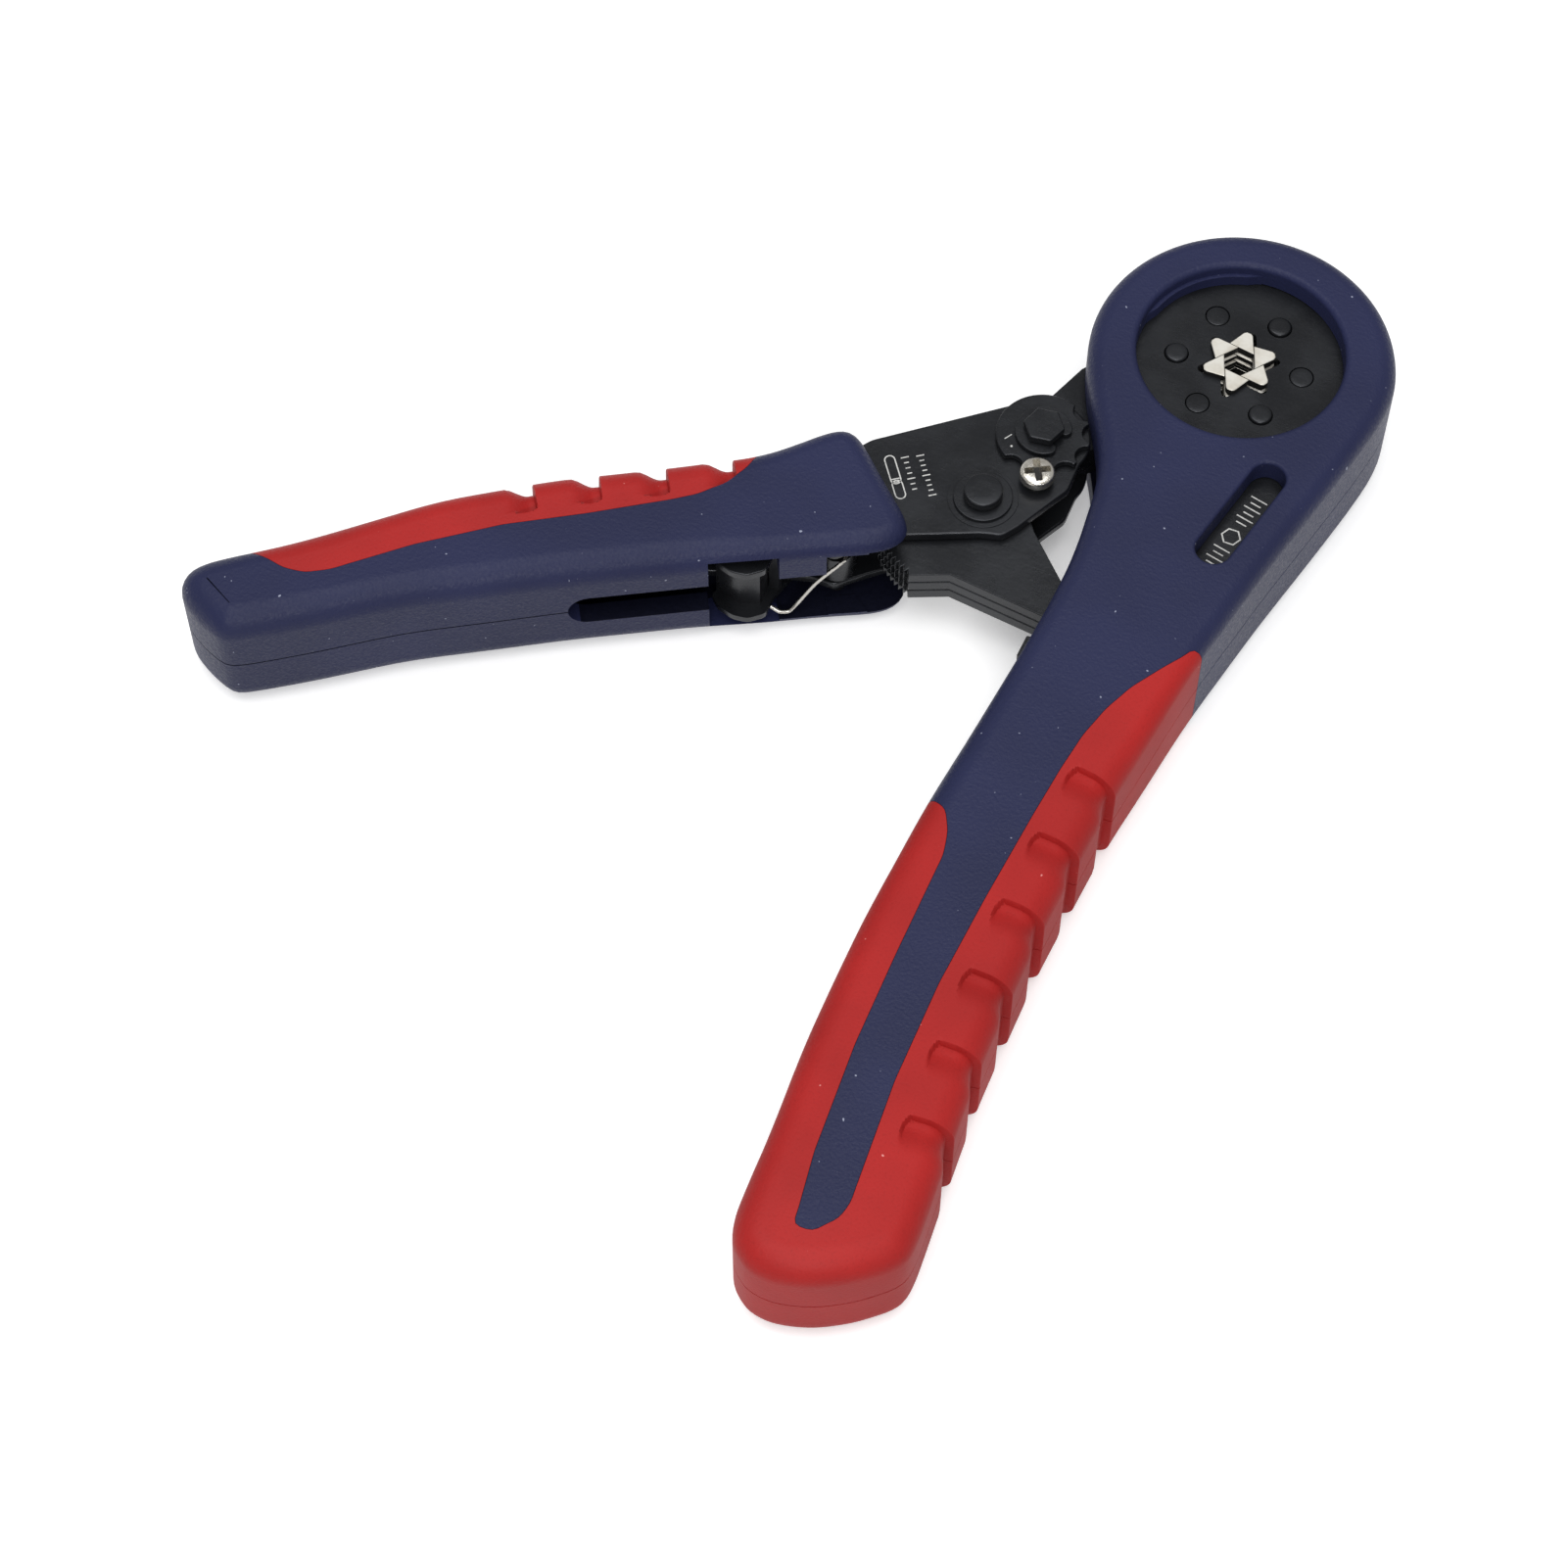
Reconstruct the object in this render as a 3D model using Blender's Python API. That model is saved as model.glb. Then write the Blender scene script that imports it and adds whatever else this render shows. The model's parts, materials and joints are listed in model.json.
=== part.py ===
"""Ferrule crimping tool: a hexagonal iris of six jaws between two head plates, closed by a drive ring
that a cam pin in the moving handle turns, with a ratchet, a release lever and soft-covered handles.

The tool lies on its rear side: Z is through its thickness, Y runs from the butt to the head."""
import math

import bmesh
import bpy
from mathutils import Vector

MM = 0.001
HEAD_CENTRE = (50.65, 65.75)        # where the crimping axis stands from the middle of the footprint
THICKNESS = 20.0                    # over both handle shells
PARTING = THICKNESS / 2             # the two halves of every shell meet here
GAP = 0.15                          # half of the space left between two pieces that touch

# fixed frame
HEAD_MIDDLE = (0.4, -0.4)           # the round head's own middle, a little off the crimping axis
HEAD_RADIUS = 21.8
FACE_WALL = 3.6
SIDE_WALL = 2.9
FIXED_ROUNDING = 2.8
MOVING_ROUNDING = 3.4
SKIN = 1.6                          # thickness taken up by a soft grip over its shell
SKIN_BED_ROUNDING = 0.8
WINDOW_RADIUS = 14.8
HEAD_PLATE_RADIUS = 18.0
HEAD_PLATE = (14.2, 16.2)
LINER = (13.1, 14.0)
CORE_PLATES = ((7.1, 8.9), (9.1, 10.9), (11.1, 12.9))
CORE = (7.1, 12.9)
FRAME_END = -79.0
FRAME_RIVETS = [(-1.0, -47.0), (-2.5, -60.0), (-5.0, -73.0)]
FRAME_RIVET_RADIUS = 1.9

# moving handle
PIVOT = (-26.2, -33.8)
CAM_PIN = (-21.9, -21.0)
LOCK_SCREW = (-20.2, -28.3)
HANDLE_SWING = 42.0
HANDLE_PLATE = (13.05, 14.55)
PIVOT_RADIUS = 2.0
CAM_PIN_RADIUS = 1.9
PAWL_PIVOT = (-42.6, -47.6)
PAWL_PIN_RADIUS = 1.3
LEVER_PIVOT = (-50.8, -49.0)
LEVER_PIN_RADIUS = 1.2
LEVER_FLANGE = (14.9, 16.1)
HANDLE_CAVITY_FACE = 2.5
HANDLE_RIVETS = [(-60.0, -50.5), (-70.0, -56.6)]
HANDLE_RIVET_RADIUS = 1.5
WASHER = (14.7, 15.2)
WASHER_RADIUS = 4.2
WHEEL = (14.75, 15.75)
WHEEL_RADIUS = 6.6
WHEEL_STEP = 360.0 / 11             # from one notch to the next
WHEEL_NOTCHES = range(-1, 5)        # the rest of the rim is plain
CLIP = (15.9, 16.5)
CLIP_RADIUS = 4.0
CLIP_ENDS = (24.0, 304.0)

# iris
JAW_COUNT = 6
JAW_PIN_CIRCLE = 9.03
JAW_PIN_RADIUS = 1.65
FIRST_JAW_ANGLE = 8.2
JAW_SWING = 12.8
OPENING_INRADIUS = 2.2
JAW_CLEARANCE = 0.1
JAW_BODY = (7.2, 12.8)
JAW_TIP = (2.8, 17.2)
TIP_SIDE = 3.9
KNOB_CIRCLE = 14.5
KNOB_RADIUS = 1.2
RING_INNER = 13.2
RING_OUTER = 17.8
STAR_TIP = 6.0
STAR_CORNER = 3.75
RAISED_PIN = 16.7                   # every second jaw pin stands a little prouder
FLUSH_PIN = 16.3

# ratchet
TOOTH_RADIUS = 15.8
TOOTH_DEPTH = 0.8
TOOTH_COUNT = 15
TOOTH_ANGLES = (200.0, 250.0)

ROUND = 12                          # sides of a pin or a hole


def polar(radius, degrees, centre=(0.0, 0.0)):
    angle = math.radians(degrees)
    return (centre[0] + radius * math.cos(angle), centre[1] + radius * math.sin(angle))


def arc(centre, radius, start, end, count):
    """Points along an arc, both ends included."""
    return [polar(radius, start + (end - start) * i / (count - 1), centre) for i in range(count)]


def circle(centre, radius, count=ROUND):
    return [polar(radius, 360.0 * i / count, centre) for i in range(count)]


def turned(point, degrees, centre=(0.0, 0.0)):
    """The point after a turn about a centre."""
    angle = math.radians(degrees)
    x = point[0] - centre[0]
    y = point[1] - centre[1]
    return (centre[0] + x * math.cos(angle) - y * math.sin(angle),
            centre[1] + x * math.sin(angle) + y * math.cos(angle))


def smooth_loop(points, spacing=3.4, passes=4):
    """A closed curve near the points: even steps along the polygon, relaxed without shrinking it."""
    corners = [Vector(point) for point in points]
    result = []
    for here, there in zip(corners, corners[1:] + corners[:1]):
        steps = max(1, round((there - here).length / spacing))
        result.extend(here.lerp(there, step / steps) for step in range(steps))
    for factor in (0.5, -0.52) * passes:
        result = [point.lerp((result[i - 1] + result[(i + 1) % len(result)]) / 2, factor)
                  for i, point in enumerate(result)]
    return [(point.x, point.y) for point in result]


def inset(outline, distance):
    """The counter-clockwise outline moved inwards along its own normals."""
    result = []
    count = len(outline)
    for i, point in enumerate(outline):
        before = outline[i - 1]
        after = outline[(i + 1) % count]
        along = Vector((after[0] - before[0], after[1] - before[1])).normalized()
        result.append((point[0] - along.y * distance, point[1] + along.x * distance))
    return result


def mirrored(levels):
    """The same pair of heights on the other side of the middle plane."""
    return (THICKNESS - levels[1], THICKNESS - levels[0])


def make_material(name, colour, roughness, metallic):
    material = bpy.data.materials.new(name)
    material.use_nodes = True
    shader = material.node_tree.nodes["Principled BSDF"]
    shader.inputs["Base Color"].default_value = (*colour, 1.0)
    shader.inputs["Roughness"].default_value = roughness
    shader.inputs["Metallic"].default_value = metallic
    material.diffuse_color = (*colour, 1.0)
    return material


def finish(name, mesh_builder, material, pivot=(0.0, 0.0)):
    """Turns a bmesh in millimetres into an object whose origin is on the given axis."""
    centre = Vector((pivot[0], pivot[1], 0.0))
    bmesh.ops.translate(mesh_builder, verts=mesh_builder.verts, vec=-centre)
    bmesh.ops.scale(mesh_builder, verts=mesh_builder.verts, vec=(MM, MM, MM))
    bmesh.ops.recalc_face_normals(mesh_builder, faces=mesh_builder.faces)
    mesh = bpy.data.meshes.new(name)
    mesh_builder.to_mesh(mesh)
    mesh_builder.free()
    mesh.shade_smooth()
    mesh.set_sharp_from_angle(angle=math.radians(35))
    piece = bpy.data.objects.new(name, mesh)
    piece.location = ((pivot[0] + HEAD_CENTRE[0]) * MM, (pivot[1] + HEAD_CENTRE[1]) * MM, 0.0)
    bpy.context.collection.objects.link(piece)
    if material:
        mesh.materials.append(material)
    return piece


def add_prism(builder, outline, levels, holes=()):
    """Adds a straight solid with an outline and through holes between two heights."""
    edges = []
    for loop in (outline, *holes):
        corners = [builder.verts.new((x, y, levels[0])) for x, y in loop]
        for i, corner in enumerate(corners):
            edges.append(builder.edges.new((corner, corners[(i + 1) % len(corners)])))
    filled = bmesh.ops.triangle_fill(builder, edges=edges, use_beauty=True)
    faces = [item for item in filled["geom"] if isinstance(item, bmesh.types.BMFace)]
    raised = bmesh.ops.extrude_face_region(builder, geom=faces, use_keep_orig=True)
    top = [item for item in raised["geom"] if isinstance(item, bmesh.types.BMVert)]
    bmesh.ops.translate(builder, verts=top, vec=(0.0, 0.0, levels[1] - levels[0]))


def plate(name, outline, levels, material, holes=(), pivot=(0.0, 0.0)):
    builder = bmesh.new()
    add_prism(builder, outline, levels, holes)
    return finish(name, builder, material, pivot)


def turned_solid(name, centre, profile, material, count=ROUND):
    """A round solid about a vertical axis from (radius, height) pairs, its ends closed flat."""
    builder = bmesh.new()
    rings = []
    for radius, height in profile:
        rings.append([builder.verts.new((x, y, height)) for x, y in circle(centre, radius, count)])
    for lower, upper in zip(rings, rings[1:]):
        for i in range(count):
            j = (i + 1) % count
            builder.faces.new((lower[i], lower[j], upper[j], upper[i]))
    builder.faces.new(rings[0])
    builder.faces.new(rings[-1])
    return finish(name, builder, material, centre)


def rounded_half(name, outline, outer, inner, rounding, material, pivot=(0.0, 0.0), steps=2):
    """Half of a slab: flat at the inner height, its rim rounded towards the outer height."""
    builder = bmesh.new()
    direction = 1 if inner > outer else -1
    rings = []
    for step in range(steps + 1):
        angle = math.pi / 2 * step / steps
        loop = inset(outline, rounding * (1 - math.sin(angle)))
        height = outer + direction * rounding * (1 - math.cos(angle))
        rings.append([builder.verts.new((x, y, height)) for x, y in loop])
    rings.append([builder.verts.new((x, y, inner)) for x, y in outline])
    count = len(outline)
    for lower, upper in zip(rings, rings[1:]):
        for i in range(count):
            j = (i + 1) % count
            builder.faces.new((lower[i], lower[j], upper[j], upper[i]))
    builder.faces.new(rings[0])
    builder.faces.new(rings[-1])
    return finish(name, builder, material, pivot)


def cutter(name, shapes):
    """A hidden solid made of prisms, for cutting or adding to its neighbours."""
    builder = bmesh.new()
    for outline, levels in shapes:
        add_prism(builder, outline, levels)
    return hide(finish(name, builder, None))


def hide(guide):
    guide.hide_render = True
    guide.display_type = "WIRE"
    return guide


def combine(piece, operation, other):
    boolean = piece.modifiers.new(operation.title() + " " + other.name, "BOOLEAN")
    boolean.operation = operation
    boolean.solver = "EXACT"
    boolean.object = other


def fixed_outline():
    """Head circle, neck and gently curved handle, counter-clockwise."""
    head = arc(HEAD_MIDDLE, HEAD_RADIUS, -4.0, 203.0, 20)
    left = [(-17.6, -15.0), (-14.3, -19.8), (-12.3, -25.0), (-11.2, -33.4), (-10.7, -42.0), (-11.6, -54.0),
            (-13.6, -69.4), (-15.6, -84.0), (-17.2, -104.0), (-17.6, -122.0), (-17.0, -138.0)]
    butt = arc((-9.6, -147.8), 7.4, 190.0, 270.0, 5) + [(-3.8, -154.0)]
    butt += arc((-1.0, -143.6), 6.8, -55.0, 0.0, 4)
    right = [(5.3, -134.0), (4.6, -117.0), (5.2, -96.0), (7.0, -76.0), (10.8, -51.2), (15.0, -32.2),
             (19.6, -14.0)]
    return smooth_loop(head + left + butt + right, 5.5, 2)


def moving_outline():
    """The moving handle's shell, counter-clockwise from the front corner nearest the pivot."""
    front = arc((-38.0, -45.5), 4.6, -62.0, 36.0, 5) + [(-37.6, -40.4)]
    front += arc((-46.8, -37.3), 4.5, 40.0, 135.0, 5)
    outer = [(-55.5, -39.6), (-66.0, -46.0), (-82.5, -55.3), (-95.5, -64.1), (-110.5, -77.3)]
    tail = arc((-118.2, -89.0), 4.6, 130.0, 225.0, 5) + arc((-114.4, -90.7), 4.6, 250.0, 300.0, 4)
    inner = [(-105.0, -90.0), (-93.5, -81.7), (-73.5, -69.9), (-56.5, -60.6), (-43.5, -53.5)]
    return smooth_loop(front + outer + tail + inner)


def fixed_grip_region():
    """Everything that the soft grip covers: both sides and the butt, but not the tongue between."""
    tongue = [(-15.0, -84.0), (-12.5, -85.5), (-11.0, -88.5), (-10.3, -92.0), (-10.8, -108.0),
              (-11.0, -122.0), (-10.3, -138.0), (-9.0, -148.6), (-7.6, -148.4), (-4.5, -146.0),
              (-3.3, -143.5), (-4.5, -125.0), (-4.2, -110.0), (-3.0, -96.0), (-1.5, -82.0), (-0.5, -74.0),
              (0.5, -68.0), (2.0, -63.0),
              (4.0, -58.6), (6.6, -54.6), (8.7, -51.6), (9.9, -49.5)]
    return [(-30.0, -170.0), (25.0, -170.0), (25.0, -49.0)] + tongue[::-1] + [(-30.0, -84.0)]


def moving_grip_region():
    border = [(-57.0, -41.4), (-57.3, -44.5), (-59.0, -48.0), (-62.0, -51.3), (-65.0, -53.5), (-75.0, -60.0),
              (-85.0, -66.0), (-95.0, -73.5), (-104.0, -81.5), (-107.0, -83.2), (-110.0, -83.6),
              (-115.0, -82.6)]
    return [(-57.0, -20.0)] + [(-125.0, -20.0), (-125.0, -80.0)] + border[::-1]


def star_window():
    """The six-pointed hole in the head plates that the jaw tips pass through."""
    points = []
    for jaw in range(JAW_COUNT):
        tip = FIRST_JAW_ANGLE + JAW_SWING + 60.0 * jaw + 6.8
        points.append(polar(STAR_TIP - 0.3, tip - 3.5))
        points.append(polar(STAR_TIP, tip))
        points.append(polar(STAR_TIP - 0.3, tip + 3.5))
        points.append(polar(STAR_CORNER, tip + 42.2))
    return points


def head_plate_outline():
    """A disc behind the head's window, with a stem down inside the fixed handle."""
    disc = arc((0.0, 0.0), HEAD_PLATE_RADIUS, -30.0, 215.0, 26)
    left = [(-10.6, -18.0), (-9.0, -24.0), (-7.8, -33.4), (-7.4, -42.0), (-8.2, -54.0), (-11.7, FRAME_END)]
    right = [(1.6, FRAME_END), (5.7, -52.0), (9.8, -33.0), (13.6, -17.0)]
    return disc + left + right


def liner_outline():
    """Fills the handle between the head plates and the middle plates."""
    return [(9.6, -26.0), (-8.0, -26.0), (-7.2, -42.0), (-8.0, -54.0), (-11.4, FRAME_END), (1.4, FRAME_END),
            (5.0, -56.0), (7.6, -40.0)]


def core_outline():
    """Pivot eye, toothed sector, arm into the handle and a stop lug below it."""
    eye = arc(PIVOT, 5.8, 40.0, 165.0, 12)
    start, end = TOOTH_ANGLES
    teeth = []
    for tooth in range(TOOTH_COUNT):
        angle = start + (end - start) * tooth / TOOTH_COUNT
        teeth.append(polar(TOOTH_RADIUS, angle, PIVOT))
        teeth.append(polar(TOOTH_RADIUS - TOOTH_DEPTH, angle + 0.5, PIVOT))
    teeth.append(polar(TOOTH_RADIUS, end, PIVOT))
    arm = [(-26.3, -46.4), (-11.8, -48.1), (-10.0, -51.3), (-13.0, -51.8), (-13.2, -55.3), (-7.8, -56.4)]
    stem = [(-11.0, FRAME_END), (1.4, FRAME_END), (5.0, -56.0), (7.4, -43.0), (-10.3, -43.0), (-17.8, -35.4)]
    return eye + teeth + arm + stem


def ring_outline():
    """A ring with a notch for each jaw knob is open inside; this is its outer edge with the lug."""
    rim = arc((0.0, 0.0), RING_OUTER, -128.0, 186.0, 32)
    lug = [(-21.1, -6.6), (-23.6, -13.0), (-30.6, -19.6)]
    far_end = arc(cam_path(HANDLE_SWING), 4.0, 110.0, 262.0, 8)
    near_end = arc(CAM_PIN, 4.3, 250.0, 330.0, 6)
    return rim + lug + far_end + near_end


def ring_hole():
    """The ring's inner edge, with one U-shaped notch for each jaw's knob."""
    points = []
    half_width = KNOB_RADIUS + 0.12
    for jaw in range(JAW_COUNT):
        middle = FIRST_JAW_ANGLE + 60.0 * jaw + knob_offset()
        side = math.degrees(math.asin(half_width / RING_INNER))
        points.append(polar(RING_INNER, middle - side))
        centre = polar(KNOB_CIRCLE, middle)
        points.extend(arc(centre, half_width, middle - 90.0, middle + 90.0, 7))
        points.append(polar(RING_INNER, middle + side))
        points.extend(arc((0.0, 0.0), RING_INNER, middle + side + 6.0, middle + 60.0 - side - 6.0, 4))
    return points


def knob_offset():
    """Half of the ring's swing: how far each knob stands past its pin's own radius at rest."""
    reach = KNOB_CIRCLE - JAW_PIN_CIRCLE
    half = math.radians(JAW_SWING / 2)
    return math.degrees(math.atan2(reach * math.sin(half), JAW_PIN_CIRCLE + reach * math.cos(half)))


def cam_path(swing):
    """Where the cam pin stands in the drive ring after the handle has swung."""
    pin = turned(CAM_PIN, swing, PIVOT)
    return turned(pin, 2 * knob_offset() * swing / HANDLE_SWING)


def cam_slot():
    """The cam pin's path through the ring, widened to a slot with round ends."""
    half_width = CAM_PIN_RADIUS + 0.12
    steps = 10
    left = []
    right = []
    for step in range(steps + 1):
        swing = HANDLE_SWING * step / steps
        here = Vector(cam_path(swing))
        along = (Vector(cam_path(swing + 1)) - Vector(cam_path(swing - 1))).normalized()
        side = Vector((-along.y, along.x)) * half_width
        left.append(tuple(here + side))
        right.append(tuple(here - side))
    first = Vector(right[0]) - Vector(left[0])
    start = math.degrees(math.atan2(first.y, first.x))
    near_end = arc(CAM_PIN, half_width, start + 180.0, start + 360.0, 9)[1:-1]
    last = Vector(left[-1]) - Vector(right[-1])
    start = math.degrees(math.atan2(last.y, last.x))
    far_end = arc(cam_path(HANDLE_SWING), half_width, start + 180.0, start + 360.0, 9)[1:-1]
    return near_end + right + far_end + left[::-1]


def jaw_outlines(jaw):
    """The jaw's wedge with its round back and knob, and the smaller tip that shows at both faces."""
    pin_angle = FIRST_JAW_ANGLE + 60.0 * jaw
    pin = Vector(polar(JAW_PIN_CIRCLE, pin_angle))
    face_angle = pin_angle - 60.0 + JAW_SWING
    apex = Vector(polar(OPENING_INRADIUS / math.cos(math.radians(30.0)), face_angle - 30.0))
    crimp_face = Vector(polar(1.0, face_angle + 90.0))
    back_face = Vector(polar(1.0, face_angle + 30.0))
    back_shift = Vector(polar(JAW_CLEARANCE, face_angle + 120.0))
    into_body = Vector(polar(1.0, face_angle + 60.0))
    tip = [apex + back_shift, apex + back_shift + back_face * TIP_SIDE, apex + crimp_face * TIP_SIDE]
    reach = pin.dot(Vector(polar(1.0, face_angle))) - OPENING_INRADIUS - 0.06
    root = apex + into_body * 0.12
    foot = pin - Vector(polar(reach, face_angle))
    shoulder = root + back_shift + back_face * 6.2
    knob_side = pin_angle + JAW_SWING / 2
    neck = 16.0
    back = arc(pin, reach, face_angle - 55.0, knob_side - neck, 6)
    knob = arc(polar(KNOB_CIRCLE - JAW_PIN_CIRCLE, knob_side, pin), KNOB_RADIUS, knob_side - 110.0,
               knob_side + 110.0, 11)
    front = arc(pin, reach, knob_side + neck, face_angle + 180.0, 8)
    body = [tuple(root + back_shift), tuple(shoulder)] + back + knob + front
    return body, [tuple(point) for point in tip], tuple(pin)


def make_head(steel):
    pins = [polar(JAW_PIN_CIRCLE, FIRST_JAW_ANGLE + 60.0 * jaw) for jaw in range(JAW_COUNT)]
    pin_holes = [circle(pin, JAW_PIN_RADIUS + 0.1) for pin in pins]
    rivet_holes = [circle(rivet, FRAME_RIVET_RADIUS + 0.2) for rivet in FRAME_RIVETS]
    holes = [star_window()] + pin_holes + rivet_holes
    plate("head_plate_front", head_plate_outline(), HEAD_PLATE, steel, holes)
    plate("head_plate_rear", head_plate_outline(), mirrored(HEAD_PLATE), steel, holes)
    for number, pin in enumerate(pins, start=1):
        head = RAISED_PIN if number % 2 == 0 else FLUSH_PIN
        profile = [(JAW_PIN_RADIUS - 0.4, THICKNESS - head), (JAW_PIN_RADIUS, THICKNESS - head + 0.3),
                   (JAW_PIN_RADIUS, head - 0.3), (JAW_PIN_RADIUS - 0.4, head)]
        turned_solid(f"jaw_pin_{number}", pin, profile, steel)


def make_frame(steel):
    rivet_holes = [circle(rivet, FRAME_RIVET_RADIUS + 0.2) for rivet in FRAME_RIVETS]
    pivot_hole = circle(PIVOT, PIVOT_RADIUS + 0.1)
    for name, levels in zip(("rear", "middle", "front"), CORE_PLATES):
        plate(f"frame_plate_{name}", core_outline(), levels, steel, [pivot_hole] + rivet_holes)
    plate("frame_liner_front", liner_outline(), LINER, steel, rivet_holes)
    plate("frame_liner_rear", liner_outline(), mirrored(LINER), steel, rivet_holes)
    for number, rivet in enumerate(FRAME_RIVETS, start=1):
        turned_solid(f"frame_rivet_{number}", rivet, [(FRAME_RIVET_RADIUS, 3.9), (FRAME_RIVET_RADIUS, 16.1)],
                     steel)


def make_drive_ring(steel):
    plate("drive_ring", ring_outline(), CORE, steel, [ring_hole(), cam_slot()])


def make_jaws(bright_steel):
    for jaw in range(JAW_COUNT):
        body, tip, pin = jaw_outlines(jaw)
        name = f"jaw_{jaw + 1}"
        piece = plate(name, body, JAW_BODY, bright_steel, [circle(pin, JAW_PIN_RADIUS + 0.1)], pin)
        builder = bmesh.new()
        add_prism(builder, tip, JAW_TIP)
        combine(piece, "UNION", hide(finish(f"tip_of_{name}", builder, None)))


def make_covers(prefix, outline, rounding, region, plastic, rubber, cuts, notches):
    """Both half shells of a handle, and the soft grips let into them."""
    through = (-5.0, THICKNESS + 5.0)
    hollows = [cutter(f"{prefix}_cut_{number}", [shape]) for number, shape in enumerate(cuts)]
    notch_cutter = cutter(f"{prefix}_notches", [(shape, through) for shape in notches])
    grip_bed = cutter(f"{prefix}_grip_bed", [(region, through)])
    grip_limit = cutter(f"{prefix}_grip_limit", [(inset(region, 2 * GAP), through)])
    for side, outer, inner in (("front", THICKNESS, PARTING + GAP), ("rear", 0.0, PARTING - GAP)):
        inward = 1 if inner > outer else -1
        core = rounded_half(f"{prefix}_core_{side}", inset(outline, SKIN + GAP),
                            outer + inward * (SKIN + GAP), inner - inward * GAP, SKIN_BED_ROUNDING, None)
        under = rounded_half(f"{prefix}_under_{side}", inset(outline, SKIN - GAP),
                             outer + inward * (SKIN - GAP), inner + inward, SKIN_BED_ROUNDING, None)
        shell = rounded_half(f"{prefix}_shell_{side}", outline, outer, inner, rounding, plastic)
        combine(shell, "DIFFERENCE", grip_bed)
        combine(shell, "UNION", hide(core))
        for hollow in hollows:
            combine(shell, "DIFFERENCE", hollow)
        grip = rounded_half(f"{prefix}_grip_{side}", outline, outer, inner, rounding, rubber)
        combine(grip, "INTERSECT", grip_limit)
        combine(grip, "DIFFERENCE", hide(under))
        combine(grip, "DIFFERENCE", notch_cutter)


def box(x_low, y_low, x_high, y_high):
    return [(x_low, y_low), (x_high, y_low), (x_high, y_high), (x_low, y_high)]


def stadium(start, end, radius):
    """A slot with round ends between two points."""
    along = Vector(end) - Vector(start)
    heading = math.degrees(math.atan2(along.y, along.x))
    far = arc(end, radius, heading - 90.0, heading + 90.0, 9)
    near = arc(start, radius, heading + 90.0, heading + 270.0, 9)
    return far + near


def band(start, end, inside, outside):
    """A strip along a wall from start to end, reaching inside and outside of it."""
    along = (Vector(end) - Vector(start)).normalized()
    out = Vector((along.y, -along.x))
    corners = [Vector(start) - out * inside, Vector(start) + out * outside, Vector(end) + out * outside,
               Vector(end) - out * inside]
    return [tuple(corner) for corner in corners]


def finger_notch(corner, heading, length, depth):
    """A saw-tooth cut in a grip's edge: a steep step at the corner, then a long ramp outwards."""
    start = Vector(corner)
    along = Vector(polar(1.0, heading))
    out = Vector((-along.y, along.x))
    end = start + along * length
    return [tuple(start - out * depth), tuple(end), tuple(end + out * 3.0), tuple(start + out * 3.0)]


def edge_at(outline, y):
    """The right-hand edge of the outline at a height up the handle."""
    crossings = []
    for a, b in zip(outline, outline[1:] + outline[:1]):
        if (a[1] - y) * (b[1] - y) < 0.0:
            crossings.append(a[0] + (b[0] - a[0]) * (y - a[1]) / (b[1] - a[1]))
    return max(crossings)


def make_fixed_handle(plastic, rubber):
    outline = fixed_outline()
    through = (-5.0, THICKNESS + 5.0)
    side_window = (6.8, 13.2)
    cuts = [(inset(outline, SIDE_WALL), (FACE_WALL, THICKNESS - FACE_WALL)),
            (circle((0.0, 0.0), WINDOW_RADIUS, 30), through),
            (stadium((10.4, -19.4), (7.1, -33.2), 2.5), through),
            (box(-28.0, -24.6, -10.2, -0.7), side_window),
            (box(-28.0, -57.0, -6.0, -41.6), side_window)]
    notches = []
    for number in range(6):
        y = -73.7 - 10.96 * number
        notches.append(finger_notch((edge_at(outline, y), y), -99.0 + 2.4 * number, 5.0, 1.0))
    make_covers("fixed", outline, FIXED_ROUNDING, fixed_grip_region(), plastic, rubber, cuts, notches)


def make_moving_handle(plastic, rubber):
    outline = moving_outline()
    hollow = (HANDLE_CAVITY_FACE, THICKNESS - HANDLE_CAVITY_FACE)
    mouth = [(-52.5, -33.5), (-46.0, -26.0), (-22.0, -40.0), (-34.5, -52.0), (-39.5, -48.3), (-49.3, -40.3)]
    cavity = [(-37.0, -46.8), (-47.0, -36.8), (-54.2, -41.9), (-64.6, -48.4), (-80.9, -57.7), (-93.8, -66.3),
              (-108.5, -79.2), (-116.4, -86.4), (-117.4, -89.6), (-113.6, -91.6), (-95.2, -79.2),
              (-75.0, -67.4), (-57.9, -58.0), (-44.9, -50.9)]
    cuts = [(cavity, hollow),
            (mouth, (hollow[0] - 0.1, hollow[1] + 0.1)),
            (band((-73.5, -70.0), (-56.0, -60.0), 5.0, 3.0), (7.0, 13.0)),
            (band((-56.7, -60.6), (-48.0, -55.9), 5.0, 3.0), (2.0, 18.0)),
            (band((-48.5, -56.2), (-41.9, -52.6), 5.0, 3.0), (HANDLE_CAVITY_FACE, 13.0)),
            (band((-42.2, -52.8), (-33.0, -47.6), 5.0, 3.0), (hollow[0] + 0.2, hollow[1] - 0.2))]
    notches = []
    for number in range(4):
        corner = Vector((-60.9, -42.9)) + Vector((-8.1, -4.75)) * number
        notches.append(finger_notch(tuple(corner), 210.5, 3.8, -1.3))
    make_covers("moving", outline, MOVING_ROUNDING, moving_grip_region(), plastic, rubber, cuts, notches)


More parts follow.
